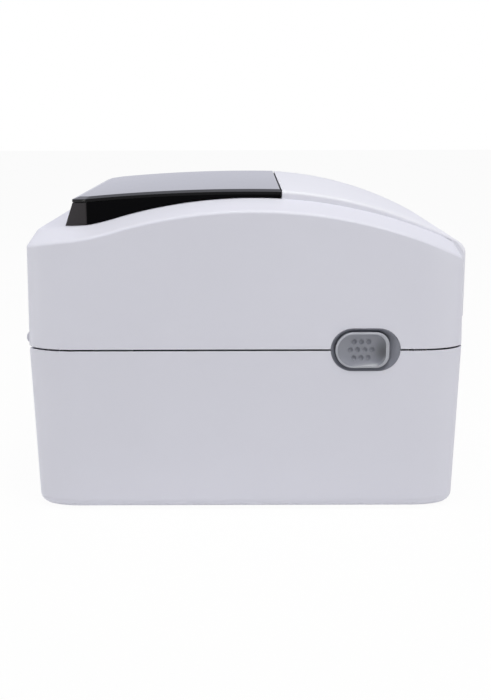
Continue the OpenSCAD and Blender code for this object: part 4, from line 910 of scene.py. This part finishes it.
line, under = [], []
for a in np.linspace(rear_turn, nose_turn, BAND_STEPS + 1):
    y = BAND_CREST_Y - BAND_R * math.sin(a)
    line.append((y, band_top - BAND_R + BAND_R * math.cos(a)))
    y = max(y, end_slope(FRONT_END, 0)[0] - HALF_L)
    under.append((y, float(crown(y)) - BAND_SINK))
for i in range(NOSE_STEPS):
    a = nose_turn + (math.pi / 2 - nose_turn) * (i + 1) / NOSE_STEPS
    line.append((nose_y - BAND_NOSE * math.sin(a), nose_z + BAND_NOSE * math.cos(a)))
    share = 2 * i / (NOSE_STEPS - 1)
    if share < 1:
        inset, drop = end_slope(FRONT_END, share)
    else:
        inset, drop = np.add(end_edge(FRONT_END, share - 1), (LID_DRAFT, FRONT_END[1]))
    y = inset - HALF_L
    under.append((y + BAND_SINK, float(crown(y)) - drop - BAND_SINK))
line.append((-HALF_L - BAND_PROUD, BAND_FOOT + CHAMFER_UP))
under.append((-HALF_L + BAND_SINK, BAND_FOOT + CHAMFER_UP))
line.append((-HALF_L - BAND_PROUD + CHAMFER_IN, BAND_FOOT))
under.append((-HALF_L + BAND_SINK, BAND_FOOT))

rings = []
for top_point, low_point in zip(np.array(line), np.array(under)):
    rise = top_point - low_point
    far = np.linalg.norm(rise)
    e = min(BAND_EDGE, far * EDGE_MOST)
    half = [(HOOD_HALF, *low_point)]
    for a in np.linspace(0, math.pi / 2, EDGE_STEPS + 1):
        half.append((HOOD_HALF - e * (1 - math.cos(a)),
                     *(low_point + rise * (1 - e * (1 - math.sin(a)) / far))))
    rings.append(mirrored(half))
band = skin("front_band_arch", rings)
band_face = -HALF_L - BAND_PROUD
tools = control_holes(band_face, 0.4, 0.2)
# The band's paler white is painted light
dress(settled(smooth(cut(band, tools))), abs_band_painted_light, "lid", "case_white", "front_band")

# %% [markdown]
# Each side has a latch: a grey oval cup in the seam with a tab that slides towards the front. The
# cup's walls are steep beside the tab and form a ramp in front of it, which is the room for its
# travel. The tab's nose overhangs, and its underside has the same slope as the ramp, so it glides
# over the ramp with a constant gap. The cup is one looped skin: out along its wall, over the rim,
# down the ramp, and back through the slot that the tab's stem runs in. The left cup is the right one
# with X turned round.

# %% Latch cups
CUP_FACE, CUP_FLOOR, CUP_BACK = HALF_W, HALF_W - CUP_DEPTH, 83.0
TAB_Y0, TAB_Y1, TAB_H, TAB_FRONT_R = -69.9, -43.7, 17.8, 6.5
TAB_FACE, TAB_BACK, TAB_TRAVEL = 90.0, 84.8, 3.5
NOSE_T, RAMP_SLOPE, RAMP_ROOM = 1.3, 0.42, 0.3
STEP_DEPTH, RING_DEPTH, TAB_ROOM = 1.1, 1.7, 0.3
LEDGE_W, LEDGE_MOST = 0.35, 0.3
STEP_END, STEP_FADE = 2.24, 1.4
CUP_RIM, CUP_MOUTH, CUP_FLAT = 0.1, 0.1, 0.12
SLOT_LOW, SLOT_HIGH = (-66.1, PART_Z - 4.4), (-51.8, PART_Z + 4.4)
LOOP_POINTS = 192
BLOCK_EDGE = 0.3
SIDES = {"left": -1, "right": 1}


def even_loop(points, count=LOOP_POINTS):
    """The same closed line with count points at even steps."""
    closed = np.vstack([points, points[:1]])
    run = np.r_[0, np.cumsum(np.linalg.norm(np.diff(closed, axis=0), axis=1))]
    at = np.linspace(0, run[-1], count, endpoint=False)
    return np.c_[np.interp(at, run, closed[:, 0]), np.interp(at, run, closed[:, 1])]


def oblong(y0, y1, height, front_r, rear_r, grow=0.0):
    """An oblong in (y, z) about the seam, round at its ends, from the middle of its front end."""
    half = height / 2 + grow
    y0, y1, front_r, rear_r = y0 - grow, y1 + grow, front_r + grow, rear_r + grow
    points = [np.array([(y0, CUP_Z)])]
    corners = ((y0 + front_r, front_r - half, front_r, 180), (y1 - rear_r, rear_r - half, rear_r, 270),
               (y1 - rear_r, half - rear_r, rear_r, 0), (y0 + front_r, half - front_r, front_r, 90))
    for y, z, r, start in corners:
        turn = np.radians(np.linspace(start, start + 90, 25))
        points.append(np.c_[y + r * np.cos(turn), CUP_Z + z + r * np.sin(turn)])
    return even_loop(np.vstack(points))


def cup_loop(grow):
    return oblong(CUP_LOW[0], CUP_HIGH[0], CUP_H, CUP_H / 2, CUP_H / 2, grow)


def tab_loop(grow):
    return oblong(TAB_Y0, TAB_Y1, TAB_H, TAB_FRONT_R, TAB_H / 2, grow)


def nose_line(points):
    """Where along the printer the tab's rounded nose begins, at the height of each point (y, z)."""
    up = np.clip(np.abs(points[:, 1] - CUP_Z) - (TAB_H / 2 - TAB_FRONT_R), 0, TAB_FRONT_R)
    return TAB_Y0 + sag(TAB_FRONT_R, up)


def nose_thickness(points):
    """How thick the tab is at points (y, z): thin at its overhanging nose, then down to its back."""
    from_nose = points[:, 0] - nose_line(points)
    return np.minimum(NOSE_T + RAMP_SLOPE * from_nose, TAB_FACE - TAB_BACK)


def ramp_depth(points):
    """How deep the cup is at points (y, z) for the tab to pass over. Beside its path that fades out."""
    passing = nose_thickness(points + (TAB_TRAVEL, 0)) - (TAB_FACE - CUP_FACE) + RAMP_ROOM
    beside = np.clip(np.abs(points[:, 1] - CUP_Z) - TAB_H / 2, 0, None)
    behind = np.clip(points[:, 0] - TAB_Y0 - TAB_FRONT_R, 0, None)
    return passing - 2 * beside - behind


def block_rings(low, high):
    """The rings of a box with chamfered edges, between two corners, built along X."""
    edge = BLOCK_EDGE
    rings = []
    for x, inset in ((low[0], edge), (low[0] + edge, 0), (high[0] - edge, 0), (high[0], edge)):
        outline = rounded_outline(np.add(low[1:], inset), np.subtract(high[1:], inset), edge, steps=3)
        rings.append(on_axis(outline, "X", x))
    return rings


def joined(name, pieces):
    """One object from several meshes."""
    bm = bmesh.new()
    for piece in pieces:
        bm.from_mesh(piece.data)
    for piece in pieces:
        bpy.data.objects.remove(piece)
    return from_bmesh(name, bm)


def sided(rings, side):
    """Rings drawn for the right side, or the same turned round for the left side."""
    return [ring * (side, 1, 1) for ring in rings]


cup_rings = [on_axis(cup_loop(0), "X", CUP_BACK)]
cup_rings += [on_axis(cup_loop(-i), "X", CUP_FACE - d) for i, d in rounding(CUP_RIM)]
cup_rings += [on_axis(cup_loop(i - CUP_FLAT - CUP_MOUTH), "X", CUP_FACE - d)
              for d, i in rounding(CUP_MOUTH)]
mouth, throat = cup_loop(-CUP_FLAT - CUP_MOUTH), tab_loop(TAB_ROOM)
reach = np.linalg.norm(mouth - throat, axis=1)
mouth_depth = CUP_MOUTH + STEP_DEPTH * np.clip((STEP_END - reach) / STEP_FADE, 0, 1)
ledge = np.minimum(LEDGE_W / reach, LEDGE_MOST)[:, None]
cup_rings.append(on_axis(mouth, "X", CUP_FACE - mouth_depth))
for t in np.linspace(0, 1, 13):
    share = ledge + (1 - ledge) * t
    loop = mouth + (throat - mouth) * share
    beside = mouth_depth + (RING_DEPTH - mouth_depth) * share[:, 0]
    cup_rings.append(on_axis(loop, "X", CUP_FACE - np.maximum(beside, ramp_depth(loop))))
slot = rounded_outline(SLOT_LOW, SLOT_HIGH, 0.5)
slot = even_loop(np.vstack([[(SLOT_LOW[0], PART_Z)], slot]))
cup_rings += [on_axis(throat, "X", CUP_FLOOR), on_axis(slot, "X", CUP_FLOOR), on_axis(slot, "X", CUP_BACK)]
CUP_FEET = (((83, -69.95, 64.5), (85.76, -47.75, 73)), ((83, -83.4, 64.5), (85.76, -58.85, 72.2)),
            ((77.75, -83.4, 64.5), (85.76, -81.4, 81.8)))
for name, side in SIDES.items():
    parts = [skin("cup", sided(cup_rings, side), looped=True)]
    parts += [skin("foot", sided(block_rings(low, high), side)) for low, high in CUP_FEET]
    cup = smooth(joined("latch_cup_oval_" + name, parts), crease_deg=40)
    dress(cup, abs_cup, "base", "cup_grey", "latch_cup_" + name)

# %% [markdown]
# The tab is a thumb pad: a rounded rim round a dish that deepens towards the front, where it ends
# in a steep wall to push against, with ten dimples for grip. Concentric loops make the rim; inside
# it the same loops shrink to the middle and each point sinks by a depth worked out from its place.
# The dimples are cut with small balls, so dish and dimples are real geometry.

# %% Release tabs
TAB_EDGE, TAB_RIM, FRONT_RIM, BACK_EDGE = 0.6, 1.0, 1.7, 0.3
DISH_REAR, DISH_FRONT, DISH_TIP, DISH_SKIN = 1.2, 2.4, 0.2, 0.6
STEEP, STEEP_FRONT, STEEP_TOP = 3.2, 3, 4
DISH_LEAST, SOFT_MIN = 0.05, 4
DOT_R, DOT_DEPTH, DOT_PITCH, DOT_ROW, DOT_MID = 1.35, 1.0, 3.5, 4.0, -56.3
DOTS = [(DOT_MID + DOT_PITCH * (i - (3 if row == 0 else 2) / 2), CUP_Z + row * DOT_ROW)
        for row in (-1, 0, 1) for i in range(4 if row == 0 else 3)]
rim_loop = oblong(TAB_Y0 + FRONT_RIM - TAB_RIM, TAB_Y1, TAB_H, TAB_FRONT_R, TAB_H / 2, -TAB_RIM)
dish_mid = np.array(((TAB_Y0 + TAB_Y1) / 2, CUP_Z))


def dish_depth(points, share):
    """How deep the dish is at points, where share runs from 1 at the rim to 0 in the middle."""
    along = np.clip((TAB_Y1 - TAB_RIM - points[:, 0]) / (TAB_Y1 - TAB_Y0 - 2 * TAB_RIM), 0, 1)
    up = (points[:, 1] - CUP_Z) / (TAB_H / 2 - TAB_RIM)
    deepest = (DISH_REAR + (DISH_FRONT - DISH_REAR) * along) * (1 - DISH_TIP * up)
    steepness = STEEP + STEEP_FRONT * along**4 + STEEP_TOP * np.clip(up, 0, 1)
    wanted = deepest * (1 - share**steepness)
    room = np.maximum(nose_thickness(points) - DISH_SKIN, DISH_LEAST)
    return wanted * room / (wanted**SOFT_MIN + room**SOFT_MIN) ** (1 / SOFT_MIN)


def dish_share(points):
    """How far out points of the dish lie: 1 at the rim and 0 in the middle."""
    def polar(p):
        offset = p - dish_mid
        return np.arctan2(offset[:, 1], offset[:, 0]), np.linalg.norm(offset, axis=1)

    angle, far = polar(points)
    rim_angle, rim_far = polar(rim_loop)
    return far / np.interp(angle, rim_angle, rim_far, period=2 * np.pi)


def dimple(y, z, side):
    """A ball that cuts one dimple into the dish."""
    ball_r = (DOT_R**2 + DOT_DEPTH**2) / (2 * DOT_DEPTH)
    point = np.array([(y, z)])
    floor_x = TAB_FACE - dish_depth(point, dish_share(point))[0] - DOT_DEPTH
    turn = np.linspace(0, 2 * np.pi, 28, endpoint=False)
    rings = []
    for a in np.radians(np.linspace(-86, 86, 19)):
        circle = np.c_[y + ball_r * math.cos(a) * np.cos(turn), z + ball_r * math.cos(a) * np.sin(turn)]
        rings.append(on_axis(circle, "X", floor_x + ball_r * (1 + math.sin(a))))
    return skin("dimple", sided(rings, side))


def on_rim(face):
    """Whether a face of the tab is on top of the pad and outside its dish."""
    x, y, z = face.center / MM
    if abs(x) < TAB_FACE - TAB_EDGE:
        return False
    z = abs(z - CUP_Z)
    inside_r = TAB_H / 2 - TAB_RIM
    rear_mid, front_mid = TAB_Y1 - TAB_H / 2, TAB_Y0 + FRONT_RIM - TAB_RIM + TAB_FRONT_R
    if y > rear_mid:
        return math.hypot(y - rear_mid, z) > inside_r
    corner_z = TAB_H / 2 - TAB_FRONT_R
    if y < front_mid and z > corner_z:
        return math.hypot(y - front_mid, z - corner_z) > TAB_FRONT_R - TAB_RIM
    return z > inside_r or y < TAB_Y0 + FRONT_RIM


def nosed(loop, thick):
    """The tab's outline where it is thick millimetres under its face: cut back at the nose."""
    cut_back = nose_line(loop) + (thick - NOSE_T) / RAMP_SLOPE
    return on_axis(np.c_[np.maximum(loop[:, 0], cut_back), loop[:, 1]], "X", TAB_FACE - thick)


tab_t = TAB_FACE - TAB_BACK
tab_rings = [nosed(tab_loop(-BACK_EDGE), tab_t)]
tab_rings += [nosed(tab_loop(0), thick) for thick in np.linspace(tab_t - BACK_EDGE, NOSE_T, 9)]
tab_rings += [on_axis(tab_loop(-i), "X", TAB_FACE - d) for i, d in rounding(TAB_EDGE)]
for share in np.r_[np.linspace(1, 0.7, 19), np.linspace(0.65, 0.02, 12)]:
    loop = dish_mid + (rim_loop - dish_mid) * share
    tab_rings.append(on_axis(loop, "X", TAB_FACE - dish_depth(loop, share)))
SLIDE = (((79.6, -62.2, 79.6), (84.8, -52.2, 87.6)), ((79.6, -69.2, 72.6), (82.6, -45.2, 90.6)),
         ((79.6, -57.2, 89.6), (82.6, -45.2, 96.6)), ((79.6, -46.2, 93.1), (82.6, -41.2, 96.6)))
for name, side in SIDES.items():
    pad = skin("pad", sided(tab_rings, side))
    parts = [cut(pad, [dimple(y, z, side) for y, z in DOTS])]
    parts += [skin("slide", sided(block_rings(low, high), side)) for low, high in SLIDE]
    tab = smooth(joined("release_tab_pad_" + name, parts), crease_deg=40)
    # Faces on the rim take the paler grey, a painted highlight
    two_toned(tab, abs_tab, abs_tab_rim_highlight, on_rim)
    dress(tab, abs_tab, "release_tab_" + name, "tab_grey", "release_tab_" + name)

# %% [markdown]
# The springs are wound wire: a round section swept along a helix. The end turns lie closer together
# than the rest, as on a spring that has been closed and ground. When a tab slides or the print head
# lifts, its spring is squeezed between two faces.

# %% Springs
CLOSED_PITCH = 0.35


def wound_wire(name, axis, foot, length, coil_r, wire_r, curls, sides=10, steps=28):
    """A coil spring from foot along an axis, with closed end turns."""
    t = np.linspace(0, 1, curls * steps + 1)
    turn = 2 * np.pi * curls * t
    pitch_share = np.clip(np.minimum(t, 1 - t) * curls, 0, 1)
    middle_share = (pitch_share[1:] + pitch_share[:-1]) / 2
    rise = np.r_[0, np.cumsum(CLOSED_PITCH + (1 - CLOSED_PITCH) * middle_share)]
    rise = wire_r + (length - 2 * wire_r) * rise / rise[-1]
    local = np.c_[coil_r * np.cos(turn), coil_r * np.sin(turn), rise]
    axis = np.array(axis, float)
    side = np.array((1.0, 0, 0))
    across = np.cross(axis, side)
    path = np.array(foot) + local[:, :1] * side + local[:, 1:2] * across + local[:, 2:] * axis
    tangent = np.gradient(path, axis=0)
    tangent /= np.linalg.norm(tangent, axis=1)[:, None]
    outward = np.cos(turn)[:, None] * side + np.sin(turn)[:, None] * across
    upward = np.cross(tangent, outward)
    rings = []
    for p, o, u in zip(path, outward, upward):
        a = np.linspace(0, 2 * np.pi, sides, endpoint=False)[:, None]
        rings.append(p + wire_r * (np.cos(a) * o + np.sin(a) * u))
    return smooth(skin(name, rings), crease_deg=60)


for name, side in SIDES.items():
    spring = wound_wire("tab_spring_coil_" + name, (0, -1, 0), (side * 79.95, -69.3, 78.6),
                        length=12, coil_r=2.2, wire_r=0.45, curls=7)
    dress(spring, steel_wire, "base", "spring_steel", "tab_spring_" + name)
    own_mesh(spring)
pair = [wound_wire("coil", (0, 0, 1), (side * 36, -88, 98.0), length=9.8, coil_r=3.6, wire_r=0.5, curls=6)
        for side in (-1, 1)]
head_springs = smooth(joined("head_spring_coils", pair), crease_deg=60)
dress(head_springs, steel_wire, "lid", "spring_steel", "head_springs")
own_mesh(head_springs)

# %% [markdown]
# The feed button is turned in the computer the way it would be on a lathe: a profile spun round its
# axis. It has a shallow dish for a fingertip and a rounded edge, and a flange behind the band keeps
# it from falling out.


# %% Feed button
def turned(name, centre_x, centre_z, profile, count=72):
    """A profile of (radius, y) spun round an axis along Y."""
    a = np.linspace(0, 2 * np.pi, count, endpoint=False)
    circle = np.c_[np.cos(a), np.sin(a)]
    return skin(name, [on_axis(r * circle + (centre_x, centre_z), "Y", y) for r, y in profile])


BUTTON_EDGE, BUTTON_DISH, DISH_R, AXIS_R = 0.6, 0.5, 5.0, 0.05
FLANGE_R, FLANGE_T, FLANGE_EDGE = 7.5, 0.9, 0.2
button_low, button_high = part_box("feed_button")
y_face, y_back = button_low.y / MM, button_high.y / MM
flange_y = y_back - FLANGE_T
dish = [(r, y_face + BUTTON_DISH * (1 - (r / DISH_R) ** 2)) for r in np.linspace(AXIS_R, 4.8, 12)]
edge = [(BUTTON_R - i, y_face + d) for d, i in rounding(BUTTON_EDGE)]
flange = [(BUTTON_R, flange_y), (FLANGE_R - FLANGE_EDGE, flange_y), (FLANGE_R, flange_y + FLANGE_EDGE),
          (FLANGE_R, y_back - FLANGE_EDGE), (FLANGE_R - FLANGE_EDGE, y_back), (AXIS_R, y_back)]
button = smooth(turned("feed_button_cap", BUTTON_X, BUTTON_Z, dish + edge + flange))
dress(button, abs_button, "feed_button", "tab_grey", "feed_button")

# %% [markdown]
# The rest of the works keep the shape of their CAD nodes, but real parts have no knife edges. Each
# node is copied, its triangles are merged back into flat faces, and every sharp edge is rounded by
# the amount its process leaves: a few tenths on mouldings, less on sheet metal and machined parts.
# The copy then stands for the node.

# %% Rounded copies of the works
SHARP_DEG, FLAT_DEG, MERGE_MM, EASE_STEPS = 30, 0.3, 0.002, 2


def eased(node, edge_mm):
    """A copy of a CAD node with its sharp edges rounded."""
    bm = bmesh.new()
    bm.from_mesh(nodes[node].data)
    bmesh.ops.remove_doubles(bm, verts=bm.verts, dist=MERGE_MM * MM)
    bmesh.ops.dissolve_limit(bm, angle_limit=math.radians(FLAT_DEG), verts=bm.verts, edges=bm.edges)
    sharp = [edge for edge in bm.edges
             if len(edge.link_faces) == 2 and edge.calc_face_angle() > math.radians(SHARP_DEG)]
    bmesh.ops.bevel(bm, geom=sharp, offset=edge_mm * MM, offset_type="OFFSET", segments=EASE_STEPS,
                    profile=0.5, affect="EDGES", clamp_overlap=True)
    copy = from_bmesh(node + "_eased", bm)
    kept = copy.data.attributes
    if "custom_normal" in kept:
        kept.remove(kept["custom_normal"])
    copy.data.materials.clear()
    return settled(smooth(copy))


print("edges over", SHARP_DEG, "degrees are rounded in", EASE_STEPS, "steps")

# %% [markdown]
# A few of these copies get one more touch. Screw heads have a cross recess for the driver, cut as two
# crossed slots. The data socket's tongue, the power socket's pin and the push switch behind the feed
# button are other materials than what they sit in, so their faces take a second finish.

# %% Recesses and inlays
CROSS_L, CROSS_W, CROSS_DEPTH = 3.4, 0.9, 0.8
TONGUE_HALF, TONGUE_Z0, TONGUE_Z1, TONGUE_BACK = 2.8, 6.4, 9.0, 1.1
PIN_R, PIN_BACK, SOCKET_DEPTH, BOARD_T = 1.0, 1.0, 9.0, 1.6
NEAR, FACING = 0.05, 0.99


def cross_recessed(screws, axis, out):
    """Cuts a cross recess into the heads of screws that face out (1 or -1) along an axis."""
    k = "XYZ".index(axis)
    flat = [face for face in screws.data.polygons if face.normal[k] * out > FACING]
    tip = max(face.center[k] * out for face in flat)
    tools = []
    for head in (face for face in flat if face.center[k] * out > tip - NEAR * MM):
        place = list(head.center / MM)
        top = place.pop(k)
        for half in ((CROSS_L / 2, CROSS_W / 2), (CROSS_W / 2, CROSS_L / 2)):
            tools.append(cutter(axis, np.subtract(place, half), np.add(place, half), CROSS_W / 4,
                                top - out * CROSS_DEPTH, top, 0.1))
    print("recesses:", len(tools) // 2)
    return smooth(cut(screws, tools))


def in_socket(node, face, front_mm):
    """Where a face lies beside the middle of a socket and above its foot, if it is inside it."""
    low, high = (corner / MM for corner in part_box(node))
    x, y, z = face.center / MM
    inside = high.y - SOCKET_DEPTH + NEAR < y < high.y - front_mm + NEAR
    return inside, x - (low.x + high.x) / 2, z - low.z, (high.z - low.z) / 2


def on_tongue(face):
    inside, x, z, _ = in_socket("usb_port", face, TONGUE_BACK)
    return inside and abs(x) < TONGUE_HALF + NEAR and TONGUE_Z0 - NEAR < z < TONGUE_Z1 + NEAR


def on_pin(face):
    inside, x, z, middle = in_socket("dc_jack", face, PIN_BACK)
    return inside and math.hypot(x, z - middle) < PIN_R + NEAR


def on_push_switch(face):
    return face.center.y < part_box("button_board")[1].y - (BOARD_T + NEAR) * MM


HEADS = {"base_screws": ("Z", -1), "liner_screws": ("Z", -1), "motor_screws": ("X", 1)}
INLAYS = {"usb_port": (nylon_ivory, on_tongue), "dc_jack": (steel_ground, on_pin),
          "button_board": (pbt_black, on_push_switch)}
print("screws with recesses:", ", ".join(HEADS), "and inlays in:", ", ".join(INLAYS))

# %% [markdown]
# With those helpers one table dresses all the works: a finish, the radius that edges get, and the
# nodes that have both. Bodies and material slots come from the frame's own record.

# %% Dress the works
slot_of = {row["node"]: row["material_slot"] for row in frame["record"]["subparts"]}
body_of = {node: nodes[node]["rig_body"] for node in nodes}
WORKS = (
    # finish, edge radius in millimetres and nodes
    (abs_white, 0.4, "hinge_blocks", "lid_hinge_arms"),
    (abs_charcoal, 0.5, "media_tray"),
    (abs_charcoal, 0.3, "exit_lip"),
    (abs_charcoal, 0.5, "lid_liner", "roll_guide_left", "roll_guide_right"),
    (steel_zinc, 0.15, "chassis_left", "chassis_right", "head_bracket"),
    (steel_ground, 0.2, "hinge_pins"),
    (steel_ground, 0.3, "platen_shaft"),
    (steel_ground, 0.15, "idler_stud"),
    (steel_ground, 0.2, "head_rod"),
    (steel_ground, 0.15, "guide_post"),
    (steel_ground, 0.06, "tear_bar"),
    (steel_ground, 0.15, "base_screws", "motor_screws", "liner_screws"),
    (roller_rubber, 0.4, "platen_rubber"),
    (rubber_feet_black, 0.3, "rubber_feet"),
    (acetal, 0.15, "platen_bushes"),
    (acetal, 0.06, "platen_gear", "idler_gear", "guide_pinion"),
    (brass, 0.05, "motor_pinion"),
    (motor_stack, 0.5, "stepper_motor"),
    (nylon_black, 0.2, "label_sensor"),
    (nylon_black, 0.25, "lid_sensor"),
    (nylon_black, 0.2, "gap_sensor"),
    (board_green, 0.1, "main_board", "button_board"),
    (epoxy_black, 0.1, "board_chips"),
    (nickel, 0.12, "usb_port"),
    (pbt_black, 0.2, "dc_jack", "port_plate"),
    (pbt_black, 0.25, "switch_housing"),
    (pbt_gloss, 0.25, "power_rocker"),
    (aluminium, 0.1, "heat_sink"),
    (glazed, 0.1, "thermal_head"),
    (acrylic, 0.3, "light_pipe"),
)
for finish, edge_mm, *members in WORKS:
    for node in members:
        copy = eased(node, edge_mm)
        if node in HEADS:
            cross_recessed(copy, *HEADS[node])
        if node in INLAYS:
            two_toned(copy, finish, *INLAYS[node])
        dress(copy, finish, body_of[node], slot_of[node], node)
